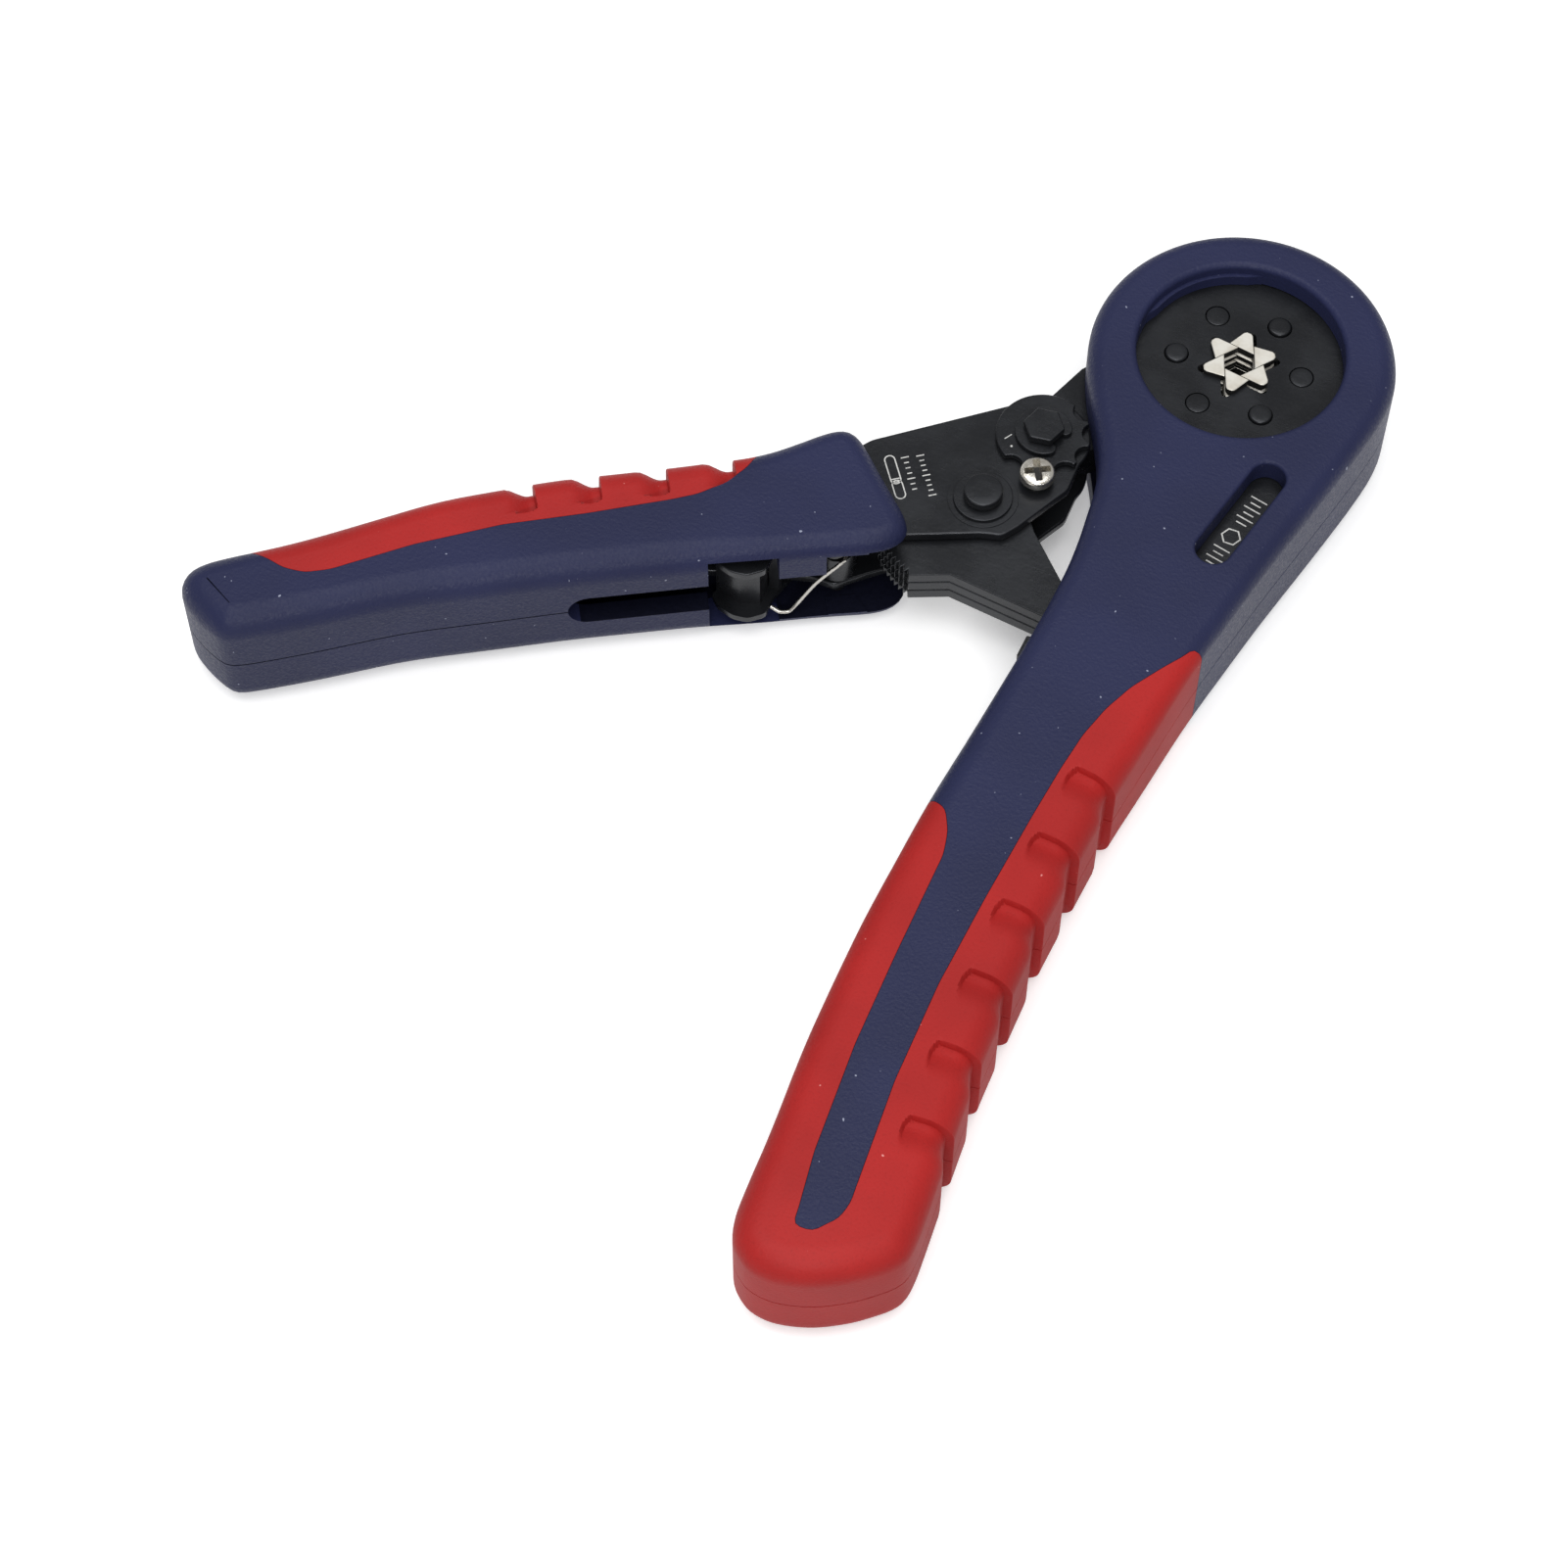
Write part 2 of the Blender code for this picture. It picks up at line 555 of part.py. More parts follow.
def handle_plate_outline():
    nose = arc(CAM_PIN, 6.75, -20.0, 130.0, 14)
    outer = [(-44.2, -30.2), (-46.8, -33.8), (-49.8, -39.7), (-58.0, -45.4), (-72.0, -54.0), (-76.5, -58.2)]
    inner = [(-74.5, -61.8), (-71.5, -62.2), (-60.0, -55.0), (-52.0, -52.0), (-45.0, -50.3), (-42.0, -50.3),
             (-38.5, -47.0), (-35.0, -44.0)]
    front = [(-24.5, -39.4), (-21.5, -38.6), (-20.0, -36.5), (-15.6, -28.0)]
    return nose + outer + inner + front


def make_handle_plates(steel):
    outline = handle_plate_outline()
    holes = [circle(PIVOT, PIVOT_RADIUS + 0.1), circle(CAM_PIN, CAM_PIN_RADIUS + 0.1),
             circle(PAWL_PIVOT, PAWL_PIN_RADIUS + 0.1), circle(LEVER_PIVOT, LEVER_PIN_RADIUS + 0.1)]
    rivet_holes = [circle(rivet, HANDLE_RIVET_RADIUS + 0.1) for rivet in HANDLE_RIVETS]
    holes += rivet_holes
    screw_hole = circle(LOCK_SCREW, 1.55)
    plate("handle_plate_front", outline, HANDLE_PLATE, steel, holes + [screw_hole], PIVOT)
    plate("handle_plate_rear", outline, mirrored(HANDLE_PLATE), steel, holes, PIVOT)
    spacer = [(-56.5, -48.0), (-71.5, -55.2), (-73.5, -58.6), (-71.0, -60.2), (-57.5, -52.8)]
    plate("handle_spacer", spacer, CORE, steel, rivet_holes, PIVOT)
    for number, rivet in enumerate(HANDLE_RIVETS, start=1):
        radius = HANDLE_RIVET_RADIUS
        profile = [(radius + 0.8, 4.5), (radius + 0.8, 5.2), (radius, 5.2), (radius, 14.8),
                   (radius + 0.8, 14.8), (radius + 0.8, 15.5)]
        turned_solid(f"handle_rivet_{number}", rivet, profile, steel)
    for name, levels in (("front", WASHER), ("rear", mirrored(WASHER))):
        plate(f"pivot_washer_{name}", circle(PIVOT, WASHER_RADIUS, 36), levels, steel,
              [circle(PIVOT, PIVOT_RADIUS + 0.1)], PIVOT)
    head = [(2.4, 3.2), (3.0, 3.8), (3.0, 4.65), (PIVOT_RADIUS, 4.65), (PIVOT_RADIUS, 15.35), (3.0, 15.35),
            (3.0, 16.2), (2.4, 16.8)]
    turned_solid("pivot_rivet", PIVOT, head, steel)


def make_adjuster(steel, nickel):
    """The cam pin with its notched wheel, clip and the screw that locks the wheel."""
    wheel = []
    towards_screw = math.degrees(math.atan2(LOCK_SCREW[1] - CAM_PIN[1], LOCK_SCREW[0] - CAM_PIN[0]))
    for notch in WHEEL_NOTCHES:
        angle = towards_screw + WHEEL_STEP * notch
        centre = polar(WHEEL_RADIUS + 0.6, angle, CAM_PIN)
        wheel.extend(arc(centre, 1.75, angle + 245.0, angle + 115.0, 7))
    plain_start = towards_screw + WHEEL_STEP * (WHEEL_NOTCHES[-1] + 0.5)
    plain_end = towards_screw + 360.0 + WHEEL_STEP * (WHEEL_NOTCHES[0] - 0.5)
    wheel.extend(arc(CAM_PIN, WHEEL_RADIUS, plain_start, plain_end, 16))
    plate("adjusting_wheel", wheel, WHEEL, steel, [circle(CAM_PIN, CAM_PIN_RADIUS + 0.1)], CAM_PIN)
    opening = arc(CAM_PIN, CLIP_RADIUS, CLIP_ENDS[0], CLIP_ENDS[1], 25)
    inner = arc(CAM_PIN, CAM_PIN_RADIUS + 0.12, CLIP_ENDS[1], CLIP_ENDS[0], 19)
    plate("retaining_clip", opening + inner, CLIP, steel, (), CAM_PIN)
    pin = [(1.5, 3.2), (3.2, 3.4), (3.2, 5.3), (CAM_PIN_RADIUS, 5.3), (CAM_PIN_RADIUS, 16.9), (1.6, 17.2)]
    piece = turned_solid("cam_pin", CAM_PIN, pin, steel)
    builder = bmesh.new()
    add_prism(builder, circle(CAM_PIN, 2.75, 6), (16.65, 17.9))
    combine(piece, "UNION", hide(finish("cam_pin_hexagon", builder, None)))
    screw = [(1.4, 13.1), (1.4, 15.9), (2.5, 15.9), (2.5, 16.9), (2.1, 17.4)]
    piece = turned_solid("lock_screw", LOCK_SCREW, screw, nickel)
    builder = bmesh.new()
    cross = [(-0.35, -1.4), (0.35, -1.4), (0.35, -0.35), (1.4, -0.35), (1.4, 0.35), (0.35, 0.35), (0.35, 1.4),
             (-0.35, 1.4), (-0.35, 0.35), (-1.4, 0.35), (-1.4, -0.35), (-0.35, -0.35)]
    add_prism(builder, [(x + LOCK_SCREW[0], y + LOCK_SCREW[1]) for x, y in cross], (16.4, 18.0))
    combine(piece, "DIFFERENCE", hide(finish("lock_screw_recess", builder, None)))


def make_ratchet(steel, spring_steel):
    """Pawl, release lever, their pins and the spring that returns both."""
    nose = polar(TOOTH_RADIUS + 0.3, 206.0, PIVOT)
    pawl = [nose, (-42.9, -41.6)] + arc(PAWL_PIVOT, 2.6, 160.0, 380.0, 11)
    plate("pawl", pawl, (7.4, 12.6), steel, [circle(PAWL_PIVOT, PAWL_PIN_RADIUS + 0.1)], PAWL_PIVOT)
    turned_solid("pawl_pin", PAWL_PIVOT, [(PAWL_PIN_RADIUS, 3.0), (PAWL_PIN_RADIUS, 17.2)], steel)
    turned_solid("lever_pin", LEVER_PIVOT, [(LEVER_PIN_RADIUS, 3.0), (LEVER_PIN_RADIUS, 17.0)], steel)
    flange = [(-47.8, -48.2), (-50.5, -45.8), (-54.0, -47.8), (-58.2, -57.4), (-56.6, -58.9), (-54.0, -59.6),
              (-52.0, -58.4), (-52.2, -55.2), (-50.4, -52.6)]
    inside = [(-45.0, -50.0), (-45.0, -43.0), (-62.0, -43.0), (-62.0, -56.0), (-57.2, -57.4), (-54.0, -58.5),
              (-53.0, -57.5), (-53.2, -55.4), (-48.0, -52.4)]
    lever = plate("release_lever", flange, (THICKNESS - LEVER_FLANGE[1], LEVER_FLANGE[1]), steel,
                  [circle(LEVER_PIVOT, LEVER_PIN_RADIUS + 0.1)], LEVER_PIVOT)
    inner_levels = (THICKNESS - LEVER_FLANGE[0], LEVER_FLANGE[0])
    combine(lever, "DIFFERENCE", cutter("between_flanges", [(inside, inner_levels)]))
    make_spring(spring_steel)


def make_spring(spring_steel):
    """A torsion spring on the pawl's pin, with one leg down to the rear of the handle's opening."""
    wire = 0.3
    coil_radius = 2.3
    turns = 3
    points = []
    for step in range(turns * 14 + 1):
        angle = 30.0 - 360.0 * step / 14
        x, y = polar(coil_radius, angle, PAWL_PIVOT)
        points.append((x, y, 16.9 - 0.68 * step / 14))
    points += [(-40.3, -50.9, 14.87), (-43.9, -52.5, 9.5), (-46.0, -53.9, 5.2), (-46.9, -55.0, 3.9),
               (-48.1, -55.6, 4.0), (-49.5, -55.5, 4.5)]
    curve = bpy.data.curves.new("pawl_spring", "CURVE")
    curve.dimensions = "3D"
    curve.bevel_depth = wire * MM
    curve.bevel_resolution = 1
    curve.use_fill_caps = True
    spline = curve.splines.new("POLY")
    spline.points.add(len(points) - 1)
    for target, (x, y, z) in zip(spline.points, points):
        target.co = ((x - PAWL_PIVOT[0]) * MM, (y - PAWL_PIVOT[1]) * MM, z * MM, 1.0)
    spring = bpy.data.objects.new("pawl_spring", curve)
    spring.location = ((PAWL_PIVOT[0] + HEAD_CENTRE[0]) * MM, (PAWL_PIVOT[1] + HEAD_CENTRE[1]) * MM, 0.0)
    curve.materials.append(spring_steel)
    bpy.context.collection.objects.link(spring)


def main():
    for old in list(bpy.data.objects):
        bpy.data.objects.remove(old)
    blackened = make_material("blackened_steel", (0.028, 0.030, 0.032), 0.45, 0.85)
    bright = make_material("ground_steel", (0.62, 0.60, 0.56), 0.3, 1.0)
    nickel = make_material("nickel", (0.75, 0.72, 0.65), 0.2, 1.0)
    plastic = make_material("navy_plastic", (0.034, 0.037, 0.10), 0.5, 0.0)
    rubber = make_material("red_rubber", (0.48, 0.017, 0.017), 0.7, 0.0)
    make_head(blackened)
    make_frame(blackened)
    make_drive_ring(blackened)
    make_jaws(bright)
    make_fixed_handle(plastic, rubber)
    make_moving_handle(plastic, rubber)
    make_handle_plates(blackened)
    make_adjuster(blackened, nickel)
    make_ratchet(blackened, bright)


main()
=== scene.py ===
import json
import math
import bpy
import numpy as np
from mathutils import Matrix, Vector


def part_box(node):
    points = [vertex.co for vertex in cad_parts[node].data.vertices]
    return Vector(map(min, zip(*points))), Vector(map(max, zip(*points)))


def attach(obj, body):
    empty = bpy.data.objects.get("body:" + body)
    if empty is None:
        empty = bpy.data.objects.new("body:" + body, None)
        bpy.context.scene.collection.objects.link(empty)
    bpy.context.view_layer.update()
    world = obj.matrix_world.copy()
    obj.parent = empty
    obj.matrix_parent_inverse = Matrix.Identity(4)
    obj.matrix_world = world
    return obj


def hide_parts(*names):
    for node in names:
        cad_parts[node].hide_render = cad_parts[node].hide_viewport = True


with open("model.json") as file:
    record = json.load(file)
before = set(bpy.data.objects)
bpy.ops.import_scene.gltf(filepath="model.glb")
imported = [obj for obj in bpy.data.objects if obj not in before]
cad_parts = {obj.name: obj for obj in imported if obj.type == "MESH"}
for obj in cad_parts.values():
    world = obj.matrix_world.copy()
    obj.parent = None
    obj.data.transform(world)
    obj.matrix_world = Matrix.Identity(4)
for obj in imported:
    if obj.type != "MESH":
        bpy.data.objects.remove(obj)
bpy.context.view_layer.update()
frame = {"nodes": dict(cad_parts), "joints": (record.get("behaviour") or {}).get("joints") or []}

mm = 0.001
jointPlaces = {joint["name"]: np.array(joint["pos_m"]) / mm for joint in frame["joints"]}
headCentre = jointPlaces["ring_turn"][:2]     # all outlines below are measured from the crimping axis
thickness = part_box("fixed_shell_front")[1][2] / mm
middle = thickness / 2


def jointAt(name):
    return jointPlaces[name][:2] - headCentre


def centreOf(node):
    low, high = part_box(node)
    return (np.array(low[:2]) + np.array(high[:2])) / 2 / mm - headCentre


def levelsOf(node):
    low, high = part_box(node)
    return low[2] / mm, high[2] / mm


pivot = jointAt("handle_close")
camPin = centreOf("adjusting_wheel")
lockScrew = centreOf("lock_screw")
pawlPivot = jointAt("pawl_lift")
leverPivot = jointAt("release_lever_press")
jawPins = [jointAt(f"jaw_{number}_turn") for number in range(1, 7)]


def polar(radius, degrees, centre=(0.0, 0.0)):
    angle = np.radians(degrees)
    return np.stack([centre[0] + radius * np.cos(angle), centre[1] + radius * np.sin(angle)], -1)


def arc(centre, radius, start, end, count):
    return polar(radius, np.linspace(start, end, count), centre)


def relaxed(points, spacing, passes):
    # even steps along the polygon, then each point pulled to its neighbours' mean and pushed back,
    # which rounds the corners without shrinking the loop
    points = np.asarray(points, float)
    following = np.roll(points, -1, 0)
    sides = np.linalg.norm(following - points, axis=1)
    counts = np.maximum(1, np.rint(sides / spacing).astype(int))
    parts = [here + np.arange(count)[:, None] / count * (there - here)
             for here, there, count in zip(points, following, counts)]
    loop = np.concatenate(parts)
    for factor in (0.5, -0.52) * passes:
        loop = loop + factor * ((np.roll(loop, 1, 0) + np.roll(loop, -1, 0)) / 2 - loop)
    return loop


def throughPoints(points, steps):
    # closed cubic through the points: position and slope agree from one piece to the next
    c = np.asarray(points, float)[:, None, :]
    b, d, e = np.roll(c, 1, 0), np.roll(c, -1, 0), np.roll(c, -2, 0)
    t = (np.arange(steps) / steps)[None, :, None]
    squared, cubed = (2 * b - 5 * c + 4 * d - e) * t ** 2, (3 * c - b - 3 * d + e) * t ** 3
    curve = 0.5 * (2 * c + (d - b) * t + squared + cubed)
    return curve.reshape(-1, 2)


def runLengths(loop):
    # distance along the closed loop to each point, and round to the first one again
    return np.concatenate([[0.0], np.cumsum(np.linalg.norm(np.roll(loop, -1, 0) - loop, axis=1))])


def atLengths(loop, lengths):
    # points of the closed loop at the given distances along it
    runs = runLengths(loop)
    closed = np.vstack([loop, loop[:1]])
    return np.stack([np.interp(np.mod(lengths, runs[-1]), runs, closed[:, k]) for k in (0, 1)], 1)


def outward(loop):
    # unit normals of a counter-clockwise loop
    along = np.roll(loop, -1, 0) - np.roll(loop, 1, 0)
    along = along / np.linalg.norm(along, axis=1, keepdims=True)
    return np.stack([along[:, 1], -along[:, 0]], 1)


def even(loop, step):
    # the loop again, in equal steps of about the given length
    total = runLengths(loop)[-1]
    count = round(total / step)
    return atLengths(loop, np.arange(count) * total / count)


def turnedLeft(loop):
    # the loop itself if it runs counter-clockwise, otherwise the same points the other way round
    following = np.roll(loop, -1, 0)
    doubleArea = (loop[:, 0] * following[:, 1] - loop[:, 1] * following[:, 0]).sum()
    return loop if doubleArea > 0 else loop[::-1]


def sweep(loop, profile):
    # profile of (outward, height) pairs carried along the loop, closed by a flat face at each end
    loop = turnedLeft(loop)
    normals = outward(loop)
    rings = loop[None] + profile[:, 0][:, None, None] * normals[None]
    heights = np.broadcast_to(profile[:, 1][:, None, None], rings.shape[:2] + (1,))
    return closeRings(np.concatenate([rings, heights], 2))


def closeRings(rings):
    # quads between one ring of points and the next, and one flat face over each end ring
    rows, count = rings.shape[:2]
    index = np.arange(rows * count).reshape(rows, count)
    following = np.roll(index, -1, 1)
    quads = np.stack([index[:-1], following[:-1], following[1:], index[1:]], -1).reshape(-1, 4)
    faces = quads.tolist() + [index[0, ::-1].tolist(), index[-1].tolist()]
    return rings.reshape(-1, 3), faces


def slab(levels, bevel, steps=3):
    # a straight wall whose two rims are quarter rounds
    turn = np.linspace(0.0, np.pi / 2, steps + 1)
    top = np.stack([bevel * (np.cos(turn) - 1), levels[1] + bevel * (np.sin(turn) - 1)], 1)
    bottom = np.stack([top[::-1, 0], levels[0] + levels[1] - top[::-1, 1]], 1)
    return np.concatenate([bottom, top])


def turnedSurface(centre, profile, count=56):
    # (radius, height) pairs from the bottom up, swung round a vertical line
    profile = np.asarray(profile, float)
    turn = np.arange(count) / count * 2 * np.pi
    x = centre[0] + profile[:, :1] * np.cos(turn)
    y = centre[1] + profile[:, :1] * np.sin(turn)
    z = np.broadcast_to(profile[:, 1:], x.shape)
    return closeRings(np.stack([x, y, z], -1))


def tube(path, radius, sides=10):
    # a circle carried along a path, its frame turned with the path's direction
    path = np.asarray(path, float)
    along = np.gradient(path, axis=0)
    along /= np.linalg.norm(along, axis=1, keepdims=True)
    side = np.cross(along, (0.31, 0.17, 0.94))
    side /= np.linalg.norm(side, axis=1, keepdims=True)
    other = np.cross(along, side)
    turn = np.arange(sides) / sides * 2 * np.pi
    circle = side[:, None] * np.cos(turn)[None, :, None] + other[:, None] * np.sin(turn)[None, :, None]
    return closeRings(path[:, None] + radius * circle)


def joined(surfaces):
    # several closed surfaces as one, their corner numbers counted on
    points, faces, start = [], [], 0
    for surface, itsFaces in surfaces:
        points.append(surface)
        faces += [[corner + start for corner in face] for face in itsFaces]
        start += len(surface)
    return np.concatenate(points), faces


def rawObject(name, surface):
    points, faces = surface
    placed = (np.asarray(points) + (headCentre[0], headCentre[1], 0.0)) * mm
    mesh = bpy.data.meshes.new(name)
    mesh.from_pydata(placed.tolist(), [], faces)
    mesh.update()
    made = bpy.data.objects.new(name, mesh)
    bpy.context.collection.objects.link(made)
    return made


def carve(piece, operation, tool):
    # the piece cut by, joined to, or kept within the tool, which is used up
    change = piece.modifiers.new("Carve", "BOOLEAN")
    change.operation = operation
    change.solver = "EXACT"
    change.object = tool
    graph = bpy.context.evaluated_depsgraph_get()
    result = bpy.data.meshes.new_from_object(piece.evaluated_get(graph), depsgraph=graph)
    piece.modifiers.clear()
    spent = [piece.data, tool.data]
    piece.data = result
    bpy.data.objects.remove(tool)
    for mesh in spent:
        bpy.data.meshes.remove(mesh)


def finishPiece(piece, material, body, slot, *nodes, sharp=38.0):
    # gives the piece its material, crease angle and body, and hides the nodes that it stands for; its slot
    # is not used
    piece.data.materials.clear()
    piece.data.materials.append(material)
    piece.data.shade_smooth()
    piece.data.set_sharp_from_angle(angle=math.radians(sharp))
    weighting = piece.modifiers.new("Weighted Normal", "WEIGHTED_NORMAL")
    weighting.keep_sharp = True
    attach(piece, body)
    if nodes:
        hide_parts(*nodes)
    return piece


class Wire:
    # a socket in a material's node tree, with arithmetic
    def __init__(self, paint, socket):
        self.paint = paint
        self.socket = socket

    def __add__(self, other):
        return self.paint.sum("ADD", self, other)

    def __radd__(self, other):
        return self.paint.sum("ADD", other, self)

    def __sub__(self, other):
        return self.paint.sum("SUBTRACT", self, other)

    def __rsub__(self, other):
        return self.paint.sum("SUBTRACT", other, self)

    def __mul__(self, other):
        return self.paint.sum("MULTIPLY", self, other)

    def __rmul__(self, other):
        return self.paint.sum("MULTIPLY", other, self)

    def __truediv__(self, other):
        return self.paint.sum("DIVIDE", self, other)

    def __rtruediv__(self, other):
        return self.paint.sum("DIVIDE", other, self)

    def __pow__(self, other):
        return self.paint.sum("POWER", self, other)


class Paint:
    # builds one material, all of whose nodes are made by node()
    def __init__(self, name):
        self.material = bpy.data.materials.new(name)
        self.material.use_nodes = True
        self.tree = self.material.node_tree
        self.shader = self.tree.nodes["Principled BSDF"]
        self.place = self.node("ShaderNodeTexCoord", output="Object")

    def node(self, kind, settings=None, inputs=None, output=0):
        made = self.tree.nodes.new(kind)
        for name, value in (settings or {}).items():
            setattr(made, name, value)
        for name, value in (inputs or {}).items():
            self.feed(made.inputs[name], value)
        return Wire(self, made.outputs[output])

    def feed(self, socket, value):
        if isinstance(value, Wire):
            self.tree.links.new(value.socket, socket)
        else:
            socket.default_value = value

    def sum(self, operation, first, second):
        return self.node("ShaderNodeMath", {"operation": operation}, {0: first, 1: second})

    def noise(self, scale, detail=3.0, roughness=0.5, stretch=None):
        place = self.place
        if stretch:
            place = self.node("ShaderNodeMapping", None, {"Vector": place, "Scale": stretch})
        return self.node("ShaderNodeTexNoise", None,
                         {"Vector": place, "Scale": scale, "Detail": detail, "Roughness": roughness})

    def between(self, value, low, high, fromLow=0.0, fromHigh=1.0):
        return self.node("ShaderNodeMapRange", {"interpolation_type": "SMOOTHSTEP"},
                         {"Value": value, "From Min": fromLow, "From Max": fromHigh,
                          "To Min": low, "To Max": high})

    def blend(self, factor, first, second):
        # the Mix node's colour sockets are its seventh and eighth, and its colour output the third
        return self.node("ShaderNodeMix", {"data_type": "RGBA"}, {0: factor, 6: first, 7: second}, 2)

    def bump(self, height, distance):
        return self.node("ShaderNodeBump", None, {"Height": height, "Distance": distance})

    def set(self, **values):
        for name, value in values.items():
            self.feed(self.shader.inputs[name.replace("_", " ")], value)
        return self.material


def tint(colour, factor=1.0):
    # a red, green and blue brightened by the factor, with the alpha added
    return tuple(channel * factor for channel in colour) + (1.0,)


navyValues = {"colour": (0.0175, 0.021, 0.063), "grain": 2600.0, "grainDepth": 0.00007, "specular": 0.2,
              "specks": (0.30, 0.32, 0.42), "speckScale": 1100.0}


def shadedNavyPlastic():
    # painted shade: a darker copy of the navy for the unlit inside of the covers
    paint = Paint("navy_painted_shade")
    grain = paint.noise(1800.0, 2.0)
    colour = paint.blend(grain, tint(navyValues["colour"], 0.12), tint(navyValues["colour"], 0.25))
    paint.shader.inputs["Specular IOR Level"].default_value = 0.1
    return paint.set(Base_Color=colour, Roughness=paint.between(grain, 0.6, 0.8),
                     Normal=paint.bump(grain, navyValues["grainDepth"]))


def navyPlastic():
    paint = Paint("navy_plastic")
    grain = paint.noise(navyValues["grain"], 2.0, 0.6)
    broad = paint.noise(45.0, 2.0)
    pits = paint.between(paint.noise(1500.0, 1.0), 0.0, 1.0, 0.35, 0.75)
    colour = paint.blend(paint.between(broad, 0.0, 1.0, 0.3, 0.7), tint(navyValues["colour"], 0.9),
                         tint(navyValues["colour"], 1.12))
    # painted highlight: light specks in the colour stand in for the sparkle of the fine grain
    specks = paint.between(paint.noise(navyValues["speckScale"], 1.0, 0.4), 0.0, 1.0, 0.775, 0.82)
    sparkleSpecked = paint.blend(specks, colour, tint(navyValues["specks"]))
    height = grain + 0.3 * pits
    paint.shader.inputs["Specular IOR Level"].default_value = navyValues["specular"]
    return paint.set(Base_Color=sparkleSpecked, Roughness=paint.between(grain, 0.4, 0.56, 0.3, 0.7),
                     Normal=paint.bump(height, navyValues["grainDepth"]))


rubberValues = {"colour": (0.38, 0.014, 0.013), "grain": 2400.0, "grainDepth": 0.00005, "specular": 0.25,
                "specks": (0.75, 0.30, 0.28), "speckScale": 1000.0}


def redRubber():
    paint = Paint("red_rubber")
    grain = paint.noise(rubberValues["grain"], 2.0, 0.6)
    broad = paint.noise(60.0, 3.0)
    handled = paint.noise(18.0, 2.0)
    colour = paint.blend(paint.between(broad, 0.0, 1.0, 0.3, 0.7), tint(rubberValues["colour"], 0.9),
                         tint(rubberValues["colour"], 1.08))
    hollows = paint.between(grain, 0.35, 0.0, 0.25, 0.5)
    shaded = paint.blend(hollows, colour, tint(rubberValues["colour"], 0.7))
    # painted highlight: light specks in the colour stand in for the sparkle of the fine grain
    specks = paint.between(paint.noise(rubberValues["speckScale"], 1.0, 0.4), 0.0, 1.0, 0.8, 0.85)
    shaded = paint.blend(specks, shaded, tint(rubberValues["specks"]))
    paint.shader.inputs["Specular IOR Level"].default_value = rubberValues["specular"]
    return paint.set(Base_Color=shaded, Roughness=paint.between(handled, 0.52, 0.68, 0.3, 0.7),
                     Normal=paint.bump(grain, rubberValues["grainDepth"]))


blackValues = {"colour": (0.021, 0.0225, 0.026), "rub": (0.05, 0.05, 0.054), "metal": 0.6}


def blackenedSteel():
    paint = Paint("blackened_steel")
    grain = paint.noise(1500.0, 3.0, 0.6)
    patches = paint.noise(120.0, 3.0)
    lines = paint.noise(260.0, 3.0, 0.5, (1.0, 14.0, 1.0))
    colour = paint.blend(paint.between(patches, 0.0, 1.0, 0.3, 0.7), tint(blackValues["colour"], 0.82),
                         tint(blackValues["colour"], 1.15))
    scuffs = paint.between(paint.noise(75.0, 4.0, 0.7), 0.0, 0.35, 0.58, 0.8)
    rubbed = paint.blend(scuffs, colour, tint(blackValues["rub"]))
    roughness = paint.between(patches, 0.2, 0.3, 0.3, 0.7) + 0.05 * lines
    return paint.set(Base_Color=rubbed, Metallic=blackValues["metal"], Roughness=roughness,
                     Normal=paint.bump(grain + 0.3 * lines, 0.00002))


groundValues = {"clean": (0.74, 0.72, 0.66), "stained": (0.60, 0.56, 0.48), "metal": 0.35}


def groundSteel():
    paint = Paint("ground_steel")
    lines = paint.noise(900.0, 3.0, 0.6, (1.0, 9.0, 1.0))
    stains = paint.noise(420.0, 3.0)
    colour = paint.blend(paint.between(stains, 0.0, 1.0, 0.35, 0.75), tint(groundValues["clean"]),
                         tint(groundValues["stained"]))
    return paint.set(Base_Color=colour, Metallic=groundValues["metal"],
                     Roughness=paint.between(lines, 0.3, 0.45, 0.3, 0.7), Normal=paint.bump(lines, 0.00001))


flankValues = {"dark": (0.014, 0.014, 0.015), "worn": (0.045, 0.044, 0.042), "metal": 0.7}


# painted shade: a near-black steel for faces that lie in shade, the jaws' side faces and the screw slot's
# deep faces
def jawFlank():
    paint = Paint("jaw_flank")
    grain = paint.noise(1300.0, 3.0)
    colour = paint.blend(grain, tint(flankValues["dark"]), tint(flankValues["worn"]))
    return paint.set(Base_Color=colour, Metallic=flankValues["metal"],
                     Roughness=paint.between(grain, 0.4, 0.6), Normal=paint.bump(grain, 0.00002))


nickelValues = {"bright": (0.80, 0.77, 0.70), "dull": (0.56, 0.52, 0.45), "metal": 0.95}


def nickelPlate():
    paint = Paint("nickel")
    swirl = paint.noise(1400.0, 3.0, 0.6, (8.0, 1.0, 1.0))
    spots = paint.noise(700.0, 2.0)
    colour = paint.blend(paint.between(spots, 0.0, 1.0, 0.4, 0.8), tint(nickelValues["bright"]),
                         tint(nickelValues["dull"]))
    return paint.set(Base_Color=colour, Metallic=nickelValues["metal"],
                     Roughness=paint.between(swirl, 0.12, 0.24, 0.3, 0.7),
                     Normal=paint.bump(swirl + spots, 0.00003))


springSteelValues = {"dark": (0.32, 0.31, 0.29), "bright": (0.55, 0.53, 0.49)}


def springSteel():
    paint = Paint("spring_steel")
    drawn = paint.noise(2000.0, 2.0, 0.5, (1.0, 1.0, 0.1))
    colour = paint.blend(drawn, tint(springSteelValues["dark"]), tint(springSteelValues["bright"]))
    return paint.set(Base_Color=colour, Metallic=1.0, Roughness=paint.between(drawn, 0.2, 0.36, 0.3, 0.7),
                     Normal=paint.bump(drawn, 0.00001))


inkValues = {"fresh": (0.62, 0.62, 0.60), "worn": (0.28, 0.28, 0.28)}


